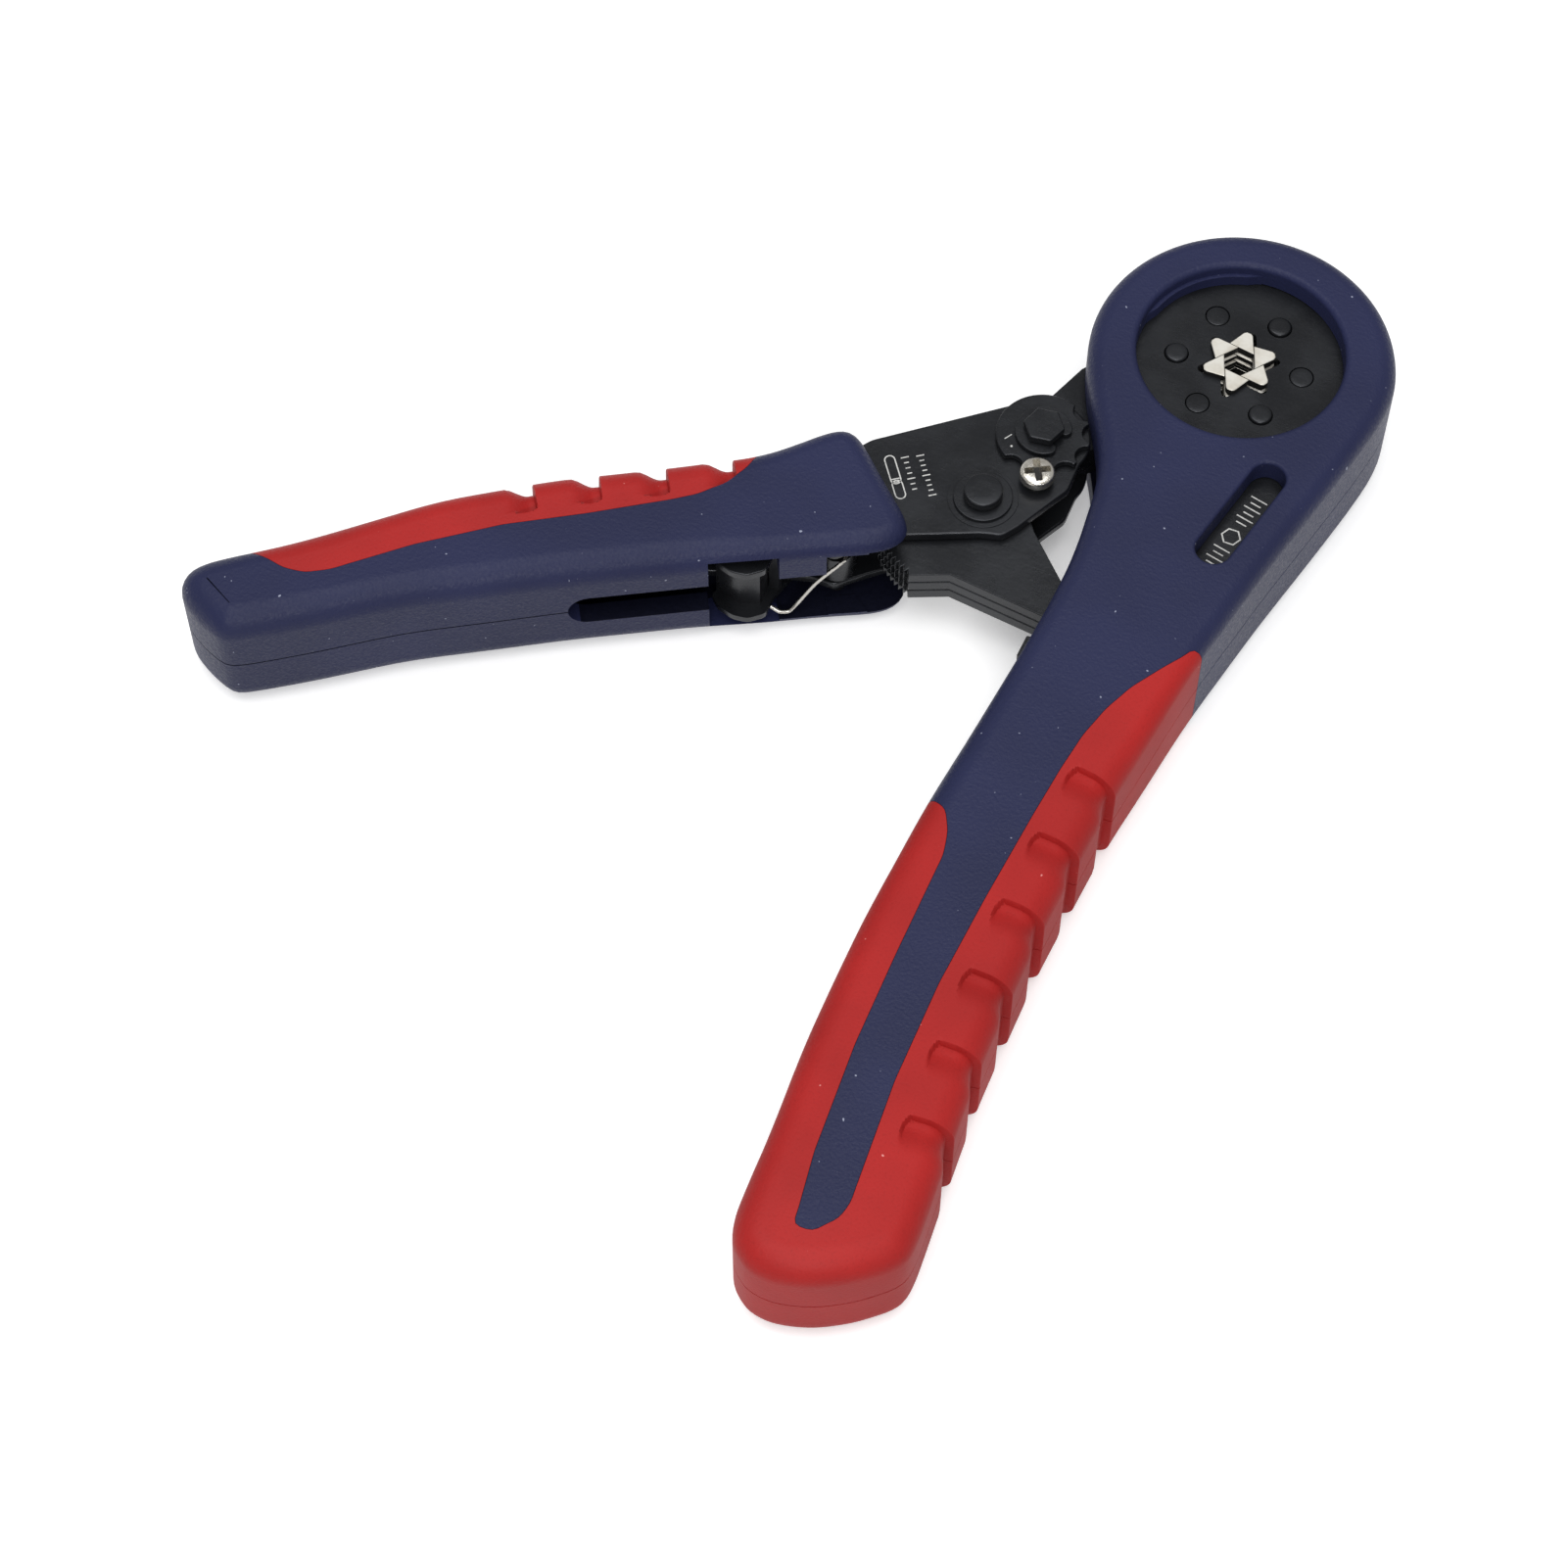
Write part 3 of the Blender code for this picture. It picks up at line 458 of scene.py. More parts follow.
def paleInk():
    paint = Paint("pale_ink")
    worn = paint.noise(2600.0, 3.0, 0.6)
    colour = paint.blend(paint.between(worn, 0.0, 1.0, 0.45, 0.75), tint(inkValues["fresh"]),
                         tint(inkValues["worn"]))
    return paint.set(Base_Color=colour, Roughness=paint.between(worn, 0.5, 0.65), Metallic=0.0,
                     Normal=paint.bump(worn, 0.00001))


print("materials")
navy = navyPlastic()
shadedNavy = shadedNavyPlastic()
red = redRubber()
black = blackenedSteel()
bright = groundSteel()
flank = jawFlank()
nickel = nickelPlate()
wireSteel = springSteel()
ink = paleInk()

coverValues = {"headMiddle": (0.4, -0.4), "headRadius": 21.8, "headRounding": 2.8, "gripRounding": 3.9,
               "parting": 0.1, "skin": 1.6, "step": 1.0, "seam": 0.035, "dark": 2.2,
               "sideWall": 2.9, "fixedFaceWall": 3.6, "movingFaceWall": 2.5}
through = (-5.0, thickness + 5.0)


def fixedCurve():
    # round head, neck and gently bowed handle
    head = arc(coverValues["headMiddle"], coverValues["headRadius"], -4.0, 203.0, 20)
    left = [(-17.6, -15.0), (-14.3, -19.8), (-12.3, -25.0), (-11.2, -33.4), (-10.7, -42.0), (-11.6, -54.0),
            (-13.6, -69.4), (-15.6, -84.0), (-17.2, -104.0), (-17.6, -122.0), (-17.0, -138.0)]
    butt = np.concatenate([arc((-9.6, -147.8), 7.4, 190.0, 270.0, 5), [(-3.8, -154.0)],
                           arc((-1.0, -143.6), 6.8, -55.0, 0.0, 4)])
    right = [(5.3, -134.0), (4.6, -117.0), (5.2, -96.0), (7.0, -76.0), (10.8, -51.2), (15.0, -32.2),
             (19.6, -14.0)]
    return throughPoints(relaxed(np.concatenate([head, left, butt, right]), 5.5, 2), 24)


def movingCurve():
    # from the wide front end past the finger notches, round the tail and back
    front = np.concatenate([arc((-38.0, -45.5), 4.6, -62.0, 36.0, 5), [(-37.6, -40.4)],
                            arc((-46.8, -37.3), 4.5, 40.0, 135.0, 5)])
    outer = [(-55.5, -39.6), (-66.0, -46.0), (-82.5, -55.3), (-95.5, -64.1), (-110.5, -77.3)]
    tail = np.concatenate([arc((-118.2, -89.0), 4.6, 130.0, 225.0, 5),
                           arc((-114.4, -90.7), 4.6, 250.0, 300.0, 4)])
    inner = [(-105.0, -90.0), (-93.5, -81.7), (-73.5, -69.9), (-56.5, -60.6), (-43.5, -53.5)]
    return throughPoints(relaxed(np.concatenate([front, outer, tail, inner]), 3.4, 4), 16)


def fixedRegion():
    # what the soft grip covers: all of the handle below the neck but a tongue up its middle
    tongue = [(-15.0, -84.0), (-12.5, -85.5), (-11.0, -88.5), (-10.3, -92.0), (-10.8, -108.0),
              (-11.0, -122.0), (-10.3, -138.0), (-9.0, -148.2), (-6.6, -148.2), (-4.2, -145.4),
              (-3.6, -143.0), (-4.5, -125.0), (-4.2, -110.0), (-3.0, -96.0), (-1.5, -82.0), (-0.5, -74.0),
              (0.5, -68.0), (2.0, -63.0),
              (4.0, -58.6), (6.6, -54.6), (8.7, -51.6), (9.9, -49.5)]
    loop = [(-30.0, -170.0), (25.0, -170.0), (25.0, -49.0)] + tongue[::-1] + [(-30.0, -84.0)]
    return relaxed(loop, 0.8, 3)


def movingRegion():
    # what the soft grip covers: the outer side of the handle, from the front end to the tail
    border = [(-57.0, -41.4), (-57.3, -44.5), (-59.0, -48.0), (-62.0, -51.3), (-65.0, -53.5), (-75.0, -60.0),
              (-85.0, -66.0), (-95.0, -73.5), (-104.0, -81.5), (-107.0, -83.2), (-110.0, -83.6),
              (-115.0, -82.6)]
    return relaxed([(-57.0, -20.0), (-125.0, -20.0), (-125.0, -80.0)] + border[::-1], 0.8, 3)


def rimRounding(loop):
    # small round the head and the neck, larger along both grips
    down = np.clip((-50.0 - loop[:, 1]) / 30.0, 0.0, 1.0)
    across = np.clip((-46.0 - loop[:, 0]) / 15.0, 0.0, 1.0)
    grown = np.maximum(down * down * (3 - 2 * down), across * across * (3 - 2 * across))
    return coverValues["headRounding"] + (coverValues["gripRounding"] - coverValues["headRounding"]) * grown


def roundedHalf(loop, levels, roundTop, depth=0.0):
    # straight wall, then a quarter round whose radius follows rimRounding; the whole of it can lie
    # an even depth under the outer surface
    turn = np.linspace(0.0, np.pi / 2, 11)[:, None]
    r = rimRounding(loop)[None] - depth
    loop = loop - depth * outward(loop)
    levels = (levels[0], levels[1] - depth) if roundTop else (levels[0] + depth, levels[1])
    inward = np.concatenate([0.0 * r, r * (1 - np.cos(turn))])
    height = np.concatenate([levels[0] + 0.0 * r, levels[1] - r + r * np.sin(turn)])
    flat = loop[None] - inward[..., None] * outward(loop)[None]
    if not roundTop:
        flat, height = flat[::-1], (levels[0] + levels[1] - height)[::-1]
    return closeRings(np.concatenate([flat, height[..., None]], 2))


def gripSurface(curve, levels, roundTop, notches):
    # half slab whose rim and face carry finger notches: each starts with a step at its corner and
    # ramps out over its length, and dies out inwards along a half ellipse
    total = runLengths(curve)[-1]
    fine = even(curve, 0.2)
    starts = [runLengths(fine)[np.argmin(np.linalg.norm(fine - corner, axis=1))]
              for corner in notches["corners"]]
    closeBy = notches["way"] * np.array([-0.1, 0.02, 0.16, 0.35, 0.6, 0.9, 1.2, 1.6])
    near = np.concatenate([start + closeBy for start in starts])
    lengths = np.unique(np.round(np.concatenate([np.arange(0.0, total, 0.8), np.mod(near, total)]), 3))
    lengths = lengths[np.concatenate([[True], np.diff(lengths) > 0.05])]
    loop = atLengths(fine, lengths)
    normals = outward(loop)
    turn = np.linspace(0.0, np.pi / 2, 11)
    r = rimRounding(loop)[None]
    inside = np.linspace(0.2, notches["reach"] + 0.8, 18)[:, None]
    wall = np.zeros((3, 1))
    inward = np.concatenate([wall + 0.0 * r, r * (1 - np.cos(turn))[:, None], r + inside])
    height = np.concatenate([levels[0] + 0.0 * r, (levels[0] + levels[1] - r) / 2, levels[1] - r - 0.4,
                             levels[1] - r + r * np.sin(turn)[:, None], levels[1] + 0.0 * (r + inside)])
    lean = np.concatenate([[0.0, 0.0, 0.0], turn, np.full(len(inside), np.pi / 2)])
    past = np.mod(notches["way"] * (lengths[None] - np.array(starts)[:, None]), total)
    beside = np.minimum(np.maximum(past - notches["length"], 0.0), total - past).min(0)
    tight = np.clip(1.3 - beside / 4.0, 0.04, 1.0)      # the face rings only spread out near the notches
    length, depth, reach = notches["length"], notches["depth"], notches["reach"]
    ramp = np.clip((past / length - 0.2) / 0.8, 0.0, 1.0)
    opening = np.clip(past / 0.16, 0.0, 1.0) * (1 - ramp * ramp * (3 - 2 * ramp))
    bow = np.sqrt(np.clip(1 - ((past - 0.4 * length) / (0.62 * length)) ** 2, 0.0, 1.0))
    edge = r + reach * bow
    fade = np.clip((edge[:, None, :] - inward[None]) / 0.32, 0.0, 1.0)
    cut = depth * (opening[:, None, :] * fade * fade * (3 - 2 * fade)).sum(0)
    offset = np.where(inward > r, r + (inward - r) * tight, inward)
    flat = loop[None] - offset[..., None] * normals[None]
    flat = flat - (cut * np.cos(lean)[:, None])[..., None] * normals[None]
    tall = height - cut * np.sin(lean)[:, None]
    if not roundTop:
        flat, tall = flat[::-1], (levels[0] + levels[1] - tall)[::-1]
    return closeRings(np.concatenate([flat, tall[..., None]], 2))


def shadeInside(shell, outline):
    # faces that look into the hollow, well inside the outline and away from the outer face, get the painted
    # shade
    polygons = shell.data.polygons
    centres = np.array([face.center for face in polygons]) / mm
    spots = centres[:, :2] - headCentre
    inside = np.linalg.norm(spots[:, None] - outline[None], axis=2).min(1) > coverValues["dark"]
    fromFace = np.minimum(centres[:, 2], thickness - centres[:, 2])
    up = np.array([abs(face.normal.z) for face in polygons])
    hidden = (fromFace > 2.2) & (inside | (up > 0.9))
    window = np.linalg.norm(spots, axis=1) < windowValues["radius"] + 1.5
    shell.data.materials.append(shadedNavy)
    polygons.foreach_set("material_index", (hidden & ~window).astype(np.int32))


def makeCovers(prefix, body, curve, region, cuts, notches):
    dense = even(curve, coverValues["step"])
    skin, seam, parting = coverValues["skin"], coverValues["seam"], coverValues["parting"]
    everything = slab(through, 0.0, 1)
    limit = region - 2 * seam * outward(region)
    for side, roundTop in (("front", True), ("rear", False)):
        levels = (middle + parting, thickness) if roundTop else (0.0, middle - parting)
        longer = (levels[0] - 1.0, levels[1]) if roundTop else (levels[0], levels[1] + 1.0)
        shell = rawObject(f"{prefix}_cover_{side}", roundedHalf(dense, levels, roundTop))
        bed = rawObject("bed", roundedHalf(dense, levels, roundTop, skin + seam))
        carve(shell, "DIFFERENCE", rawObject("region", sweep(region, everything)))
        carve(shell, "UNION", bed)
        for number, cut in enumerate(cuts):
            carve(shell, "DIFFERENCE", rawObject(f"cut_{number}", cut))
        finishPiece(shell, navy, body, "navy_plastic", f"{prefix}_shell_{side}")
        shadeInside(shell, dense)
        grip = rawObject(f"{prefix}_soft_{side}", gripSurface(curve, levels, roundTop, notches))
        carve(grip, "INTERSECT", rawObject("limit", sweep(limit, everything)))
        carve(grip, "DIFFERENCE", rawObject("under", roundedHalf(dense, longer, roundTop, skin - seam)))
        finishPiece(grip, red, body, "red_rubber", f"{prefix}_grip_{side}")
        print("cover", prefix, side)


def lippedHole(loop, lip):
    # a through cutter that flares by a quarter round at both faces
    turn = np.linspace(0.0, np.pi / 2, 6)
    top = np.stack([lip * (1 - np.cos(turn)), thickness - lip + lip * np.sin(turn)], 1)
    profile = np.concatenate([[[lip, -2.0]], np.stack([top[::-1, 0], thickness - top[::-1, 1]], 1), top,
                              [[lip, thickness + 2.0]]])
    return sweep(loop, profile)


def stadium(start, end, radius):
    start, end = np.array(start), np.array(end)
    heading = math.degrees(math.atan2(*(end - start)[::-1]))
    return np.concatenate([arc(end, radius, heading - 90.0, heading + 90.0, 25),
                           arc(start, radius, heading + 90.0, heading + 270.0, 25)])


def box(low, high):
    # corners of an upright rectangle
    return np.array([(low[0], low[1]), (high[0], low[1]), (high[0], high[1]), (low[0], high[1])], float)


def band(start, end, inside, outside):
    # a strip along a wall that reaches inside and outside of it
    start, end = np.array(start), np.array(end)
    along = (end - start) / np.linalg.norm(end - start)
    out = np.array((along[1], -along[0]))
    return np.array([start - out * inside, start + out * outside, end + out * outside, end - out * inside])


def sideSlot(start, end, levels, inside, outside):
    # a slot through a wall, round at its first end: a half circle and a box seen square to the wall
    start, end = np.array(start, float), np.array(end, float)
    length = np.linalg.norm(end - start)
    along = (end - start) / length
    out = np.array((along[1], -along[0]))
    half, centre = (levels[1] - levels[0]) / 2, (levels[0] + levels[1]) / 2
    turn = np.radians(np.linspace(90.0, 270.0, 15))
    run = np.concatenate([half + half * np.cos(turn), [length, length]])
    height = np.concatenate([centre + half * np.sin(turn), [levels[0], levels[1]]])
    rings = [np.column_stack([start + run[:, None] * along + out * shift, height])
             for shift in (-inside, outside)]
    return closeRings(np.stack(rings))


windowValues = {"radius": 14.8, "lip": 0.9, "slotStart": (10.4, -19.4), "slotEnd": (7.1, -33.2),
                "slotRadius": 2.5, "slotLip": 0.5, "side": (6.8, 13.2)}
notchValues = {"first": -73.7, "pitch": 10.96, "count": 6}


def prism(loop, levels):
    # straight walls with square corners, so each corner keeps its own place
    loop = turnedLeft(np.asarray(loop, float))
    heights = np.broadcast_to(np.array(levels)[:, None, None], (2, len(loop), 1))
    return closeRings(np.concatenate([np.broadcast_to(loop[None], (2, len(loop), 2)), heights], 2))


def fixedHandle():
    # hollow, round window, slot, and two openings in the side that the drive ring and plates pass
    curve = fixedCurve()
    coarse = even(curve, 2.0)
    hollow = (coverValues["fixedFaceWall"], thickness - coverValues["fixedFaceWall"])
    slot = stadium(windowValues["slotStart"], windowValues["slotEnd"], windowValues["slotRadius"])
    cuts = [prism(coarse - coverValues["sideWall"] * outward(coarse), hollow),
            lippedHole(arc((0.0, 0.0), windowValues["radius"], 0.0, 357.0, 120), windowValues["lip"]),
            lippedHole(slot, windowValues["slotLip"]),
            prism(box((-28.0, -24.6), (-10.2, -0.7)), windowValues["side"]),
            prism(box((-28.0, -57.0), (-6.0, -41.6)), windowValues["side"])]
    rightEdge = even(curve, 0.2)
    rightEdge = rightEdge[rightEdge[:, 0] > -2.0]
    heights = notchValues["first"] - notchValues["pitch"] * np.arange(notchValues["count"])
    corners = [rightEdge[np.argmin(np.abs(rightEdge[:, 1] - y))] for y in heights]
    notches = {"corners": corners, "way": -1.0, "length": 5.0, "depth": 1.15, "reach": 2.7}
    makeCovers("fixed", "frame", curve, fixedRegion(), cuts, notches)


def movingHandle():
    # hollow, open front end, and one long opening of four heights along the inner side
    hollow = (coverValues["movingFaceWall"], thickness - coverValues["movingFaceWall"])
    mouth = np.array([(-52.5, -33.5), (-49.3, -40.3), (-39.5, -48.3), (-34.5, -52.0), (-22.0, -40.0),
                      (-46.0, -26.0)])
    cavity = np.array([(-37.0, -46.8), (-47.0, -36.8), (-54.2, -41.9), (-64.6, -48.4), (-80.9, -57.7),
                       (-93.8, -66.3), (-108.5, -79.2), (-116.4, -86.4), (-117.4, -89.6), (-113.6, -91.6),
                       (-95.2, -79.2), (-75.0, -67.4), (-57.9, -58.0), (-44.9, -50.9)])
    cuts = [prism(cavity, hollow),
            prism(mouth, (hollow[0] - 0.1, hollow[1] + 0.1)),
            sideSlot((-73.9, -70.2), (-56.0, -60.0), (7.0, 13.0), 5.0, 3.0),
            prism(band((-56.7, -60.6), (-48.0, -55.9), 5.0, 3.0), (2.0, 18.0)),
            prism(band((-48.5, -56.2), (-41.9, -52.6), 5.0, 3.0), (hollow[0], 13.0)),
            prism(band((-42.2, -52.8), (-33.0, -47.6), 5.0, 3.0), (hollow[0] + 0.2, hollow[1] - 0.2))]
    corners = np.array([(-60.4, -42.6)]) + np.array([(-8.1, -4.75)]) * np.arange(4)[:, None]
    notches = {"corners": corners, "way": 1.0, "length": 4.2, "depth": 1.5, "reach": 2.3}
    makeCovers("moving", "handle", movingCurve(), movingRegion(), cuts, notches)


print("covers")
fixedHandle()
movingHandle()

irisValues = {"firstPin": 8.2, "swing": 12.8, "pinCircle": 9.03, "knobCircle": 14.5, "knobRadius": 1.2,
              "body": (7.2, 12.8), "pinRadius": 1.65, "pinHole": 1.78, "jawHole": 1.75,
              "raisedEdge": 0.34, "flushEdge": 0.16, "starTip": 6.0, "starCorner": 3.6, "starTurn": 6.8}


def starLoop():
    # six blunt tips, each a little past the open jaw's own side, and six inner corners between them
    tips = irisValues["firstPin"] + irisValues["swing"] + irisValues["starTurn"] + 60.0 * np.arange(6)
    reach = irisValues["starTip"]
    rows = np.stack([polar(reach - 0.25, tips - 5.0), polar(reach, tips), polar(reach - 0.25, tips + 5.0),
                     polar(irisValues["starCorner"], tips + 35.0)], 1)
    return rows.reshape(-1, 2)


def headPlateLoop():
    # a disc behind the window with a stem down inside the fixed handle
    disc = arc((0.0, 0.0), 18.0, -30.0, 215.0, 60)
    left = [(-10.6, -18.0), (-9.0, -24.0), (-7.8, -33.4), (-7.4, -42.0), (-8.2, -54.0), (-11.7, -79.0)]
    right = [(1.6, -79.0), (5.7, -52.0), (9.8, -33.0), (13.6, -17.0)]
    return np.concatenate([disc, left, right])


def pinProfile(radius, low, high, edge):
    # straight pin with a soft round at each end
    turn = np.linspace(0.0, np.pi / 2, 6)
    top = np.stack([radius - edge * (1 - np.cos(turn)), high - edge * (1 - np.sin(turn))], 1)
    crown = np.array([[radius * 0.45, high + edge * 0.12]])
    bottom = np.stack([top[::-1, 0], low + high - top[::-1, 1]], 1)
    return np.concatenate([[[radius * 0.45, low - edge * 0.12]], bottom, top, crown])


def makeHead():
    for side in ("front", "rear"):
        node = f"head_plate_{side}"
        levels = levelsOf(node)
        plate = rawObject(f"head_disc_{side}", prism(headPlateLoop(), levels))
        star = relaxed(starLoop(), 0.35, 1)
        beyond = slab((levels[0] - 1, levels[1] + 1), 0.0, 1)
        carve(plate, "DIFFERENCE", rawObject("star", sweep(star, beyond)))
        for number, pin in enumerate(jawPins):
            hole = turnedSurface(pin, [(irisValues["pinHole"], levels[0] - 1),
                                       (irisValues["pinHole"], levels[1] + 1)])
            carve(plate, "DIFFERENCE", rawObject(f"hole_{number}", hole))
        finishPiece(plate, black, "frame", "blackened_steel", node)
    for number, pin in enumerate(jawPins, start=1):
        node = f"jaw_pin_{number}"
        low, high = levelsOf(node)
        raised = high - levelsOf("head_plate_front")[1] > 0.3
        edge = irisValues["raisedEdge"] if raised else irisValues["flushEdge"]
        profile = pinProfile(irisValues["pinRadius"], low + 0.05, high - 0.05, edge)
        piece = rawObject(f"pin_{number}", turnedSurface(pin, profile))
        finishPiece(piece, black, "frame", "blackened_steel", node, sharp=60.0)


ledgeValues = {"from": 96.0, "to": 172.0, "wall": 14.78, "inner": 14.25, "taper": 0.12,
               "levels": (16.25, 18.1)}


def makeLedge():
    # a thin crescent inside the window's wall, tapering to nothing at both ends
    turn = np.linspace(0.0, 1.0, 60)
    angle = ledgeValues["from"] + (ledgeValues["to"] - ledgeValues["from"]) * turn
    swell = np.clip(np.minimum(turn, 1 - turn) / ledgeValues["taper"], 0.0, 1.0)
    wall = ledgeValues["wall"]
    inner = wall - (wall - ledgeValues["inner"]) * swell * swell * (3 - 2 * swell)
    loop = np.concatenate([polar(wall + 0.12, angle), polar(inner - 0.02, angle)[::-1]])
    piece = rawObject("window_ledge", prism(loop, ledgeValues["levels"]))
    finishPiece(piece, navy, "frame", "navy_plastic")


jawValues = {"side": 3.9, "back": 4.8, "inradius": 2.2, "clearance": 0.1, "bevel": 0.09, "ridge": 1.5,
             "ridges": 9, "groove": 0.24, "corner": 0.8}


def blunted(points, radii, steps=6):
    # each corner swapped for an arc of its radius that touches both of its sides
    points = np.asarray(points, float)
    parts = []
    for here, before, after, radius in zip(points, np.roll(points, 1, 0), np.roll(points, -1, 0), radii):
        back, ahead = before - here, after - here
        back, ahead = back / np.linalg.norm(back), ahead / np.linalg.norm(ahead)
        half = math.acos(float(back @ ahead)) / 2
        reach = radius / math.tan(half)
        centre = here + (back + ahead) / np.linalg.norm(back + ahead) * radius / math.sin(half)
        t = np.linspace(0.0, 1.0, steps)[:, None]
        chord = (1 - t) * (here + back * reach - centre) + t * (here + ahead * reach - centre)
        size = np.maximum(np.linalg.norm(chord, axis=1, keepdims=True), 1e-9)
        parts.append(centre + chord / size * radius)
    return np.concatenate(parts)


def jawLoops(number):
    # the jaw's hidden body, with the knob that the drive ring holds, and its three-cornered tip
    pinAngle = irisValues["firstPin"] + 60.0 * number
    pin = jawPins[number]
    faceAngle = pinAngle - 60.0 + irisValues["swing"]
    apex = polar(jawValues["inradius"] / math.cos(math.radians(30.0)), faceAngle - 30.0)
    crimpFace, backFace = polar(1.0, faceAngle + 90.0), polar(1.0, faceAngle + 30.0)
    backShift = polar(jawValues["clearance"], faceAngle + 120.0)
    side = jawValues["side"]
    backCorner = apex + backShift + backFace * jawValues["back"]
    tip = np.array([apex + backShift, backCorner, apex + crimpFace * side])
    reach = pin @ polar(1.0, faceAngle) - jawValues["inradius"] - 0.06
    root = apex + polar(0.12, faceAngle + 60.0)
    shoulder = root + backShift + backFace * 6.2
    knobSide = pinAngle + irisValues["swing"] / 2
    back = arc(pin, reach, faceAngle - 55.0, knobSide - 16.0, 14)
    knobCentre = polar(irisValues["knobCircle"] - irisValues["pinCircle"], knobSide, pin)
    knob = arc(knobCentre, irisValues["knobRadius"], knobSide - 110.0, knobSide + 110.0, 19)
    front = arc(pin, reach, knobSide + 16.0, faceAngle + 180.0, 16)
    return np.concatenate([[root + backShift, shoulder], back, knob, front]), tip


def jawTip(loop, levels):
    # a triangular bar, drawn in towards its middle where its grooves run and at its bevelled ends
    low, high = levels
    bevel, groove = jawValues["bevel"], jawValues["groove"]
    starts = high - 1.2 - jawValues["ridge"] * np.arange(jawValues["ridges"])[::-1]
    grooves = np.stack([starts - 0.8, starts - 0.62, starts - 0.18, starts], 1).ravel()
    heights = np.concatenate([[low, low + bevel], grooves, [high - bevel, high]])
    inwards = np.concatenate([[bevel, 0.0], np.tile([0.0, groove, groove, 0.0], len(starts)), [0.0, bevel]])
    centre = loop.mean(0)
    inradius = jawValues["side"] / (2 * math.sqrt(3.0))
    shape = turnedLeft(blunted(loop, (0.03, jawValues["corner"], 0.06))) - centre
    flat = centre + shape[None] * (1 - inwards / inradius)[:, None, None]
    tall = np.broadcast_to(heights[:, None, None], flat.shape[:2] + (1,))
    return closeRings(np.concatenate([flat, tall], 2))


def makeJaws():
    for number in range(6):
        body, tip = jawLoops(number)
        node = f"jaw_{number + 1}"
        levels = levelsOf(node)
        piece = rawObject(f"die_{number + 1}", prism(body, irisValues["body"]))
        holeRadius = irisValues["jawHole"]
        hole = turnedSurface(jawPins[number], [(holeRadius, 6.0), (holeRadius, 14.0)], 32)
        carve(piece, "DIFFERENCE", rawObject("hole", hole))
        carve(piece, "UNION", rawObject("tip", jawTip(tip, levels)))
        finishPiece(piece, bright, f"jaw_{number + 1}", "ground_steel", node, sharp=30.0)
        # painted shade: faces that don't face up get the near-black flank, flat faces keep the ground steel
        piece.data.materials.append(flank)
        flat = np.array([abs(face.normal.z) > 0.6 for face in piece.data.polygons])
        piece.data.polygons.foreach_set("material_index", np.where(flat, 0, 1).astype(np.int32))


print("head")
makeHead()
makeLedge()
makeJaws()

plateValues = {"bevel": 0.3, "noseRadius": 6.75, "coreBevel": 0.12, "eye": 5.8, "pivotHole": 2.1}
toothValues = {"radius": 15.8, "depth": 0.8, "count": 15, "from": 200.0, "to": 250.0}


def handlePlateLoop():
    nose = arc(camPin, plateValues["noseRadius"], -20.0, 130.0, 40)
    outer = [(-44.2, -30.2), (-46.8, -33.8), (-49.8, -39.7), (-58.0, -45.4), (-72.0, -54.0), (-76.5, -58.2)]
    inner = [(-74.5, -61.8), (-71.5, -62.2), (-60.0, -55.0), (-52.0, -52.0), (-45.0, -50.3), (-42.0, -50.3),
             (-38.5, -47.0), (-35.0, -44.0)]
    front = [(-24.5, -39.4), (-21.5, -38.6), (-20.0, -36.5), (-15.6, -28.0)]
    return relaxed(np.concatenate([nose, outer, inner, front]), 0.5, 4)


def makeHandlePlates():
    loop = handlePlateLoop()
    for side in ("front", "rear"):
        node = f"handle_plate_{side}"
        piece = rawObject(f"side_plate_{side}", sweep(loop, slab(levelsOf(node), plateValues["bevel"], 4)))
        finishPiece(piece, black, "handle", "blackened_steel", node)


def framePlateLoop():
    # pivot eye, toothed sector, arm into the fixed handle and the stem inside it
    eye = arc(pivot, plateValues["eye"], 40.0, 165.0, 40)
    first, last, radius = toothValues["from"], toothValues["to"], toothValues["radius"]
    angle = first + (last - first) * np.arange(toothValues["count"]) / toothValues["count"]
    root = radius - toothValues["depth"]
    teeth = np.stack([polar(radius, angle, pivot), polar(root, angle + 0.5, pivot)], 1).reshape(-1, 2)
    arm = [(-26.3, -46.4), (-11.8, -48.1), (-10.0, -51.3), (-13.0, -51.8), (-13.2, -55.3), (-7.8, -56.4)]
    stem = [(-11.0, -79.0), (1.4, -79.0), (5.0, -56.0), (7.4, -43.0), (-10.3, -43.0), (-17.8, -35.4)]
    return np.concatenate([eye, teeth, [polar(radius, last, pivot)], arm, stem])


def makeFramePlates():
    for side in ("rear", "middle", "front"):
        node = f"frame_plate_{side}"
        piece = rawObject(f"core_plate_{side}", prism(framePlateLoop(), levelsOf(node)))
        low, high = levelsOf(node)
        holeRadius = plateValues["pivotHole"]
        hole = turnedSurface(pivot, [(holeRadius, low - 1), (holeRadius, high + 1)])
        carve(piece, "DIFFERENCE", rawObject("hole", hole))
        bevel = piece.modifiers.new("Bevel", "BEVEL")
        bevel.width = plateValues["coreBevel"] * mm
        bevel.segments = 2
        bevel.limit_method = "ANGLE"
        bevel.angle_limit = math.radians(50.0)
        finishPiece(piece, black, "frame", "blackened_steel", node)


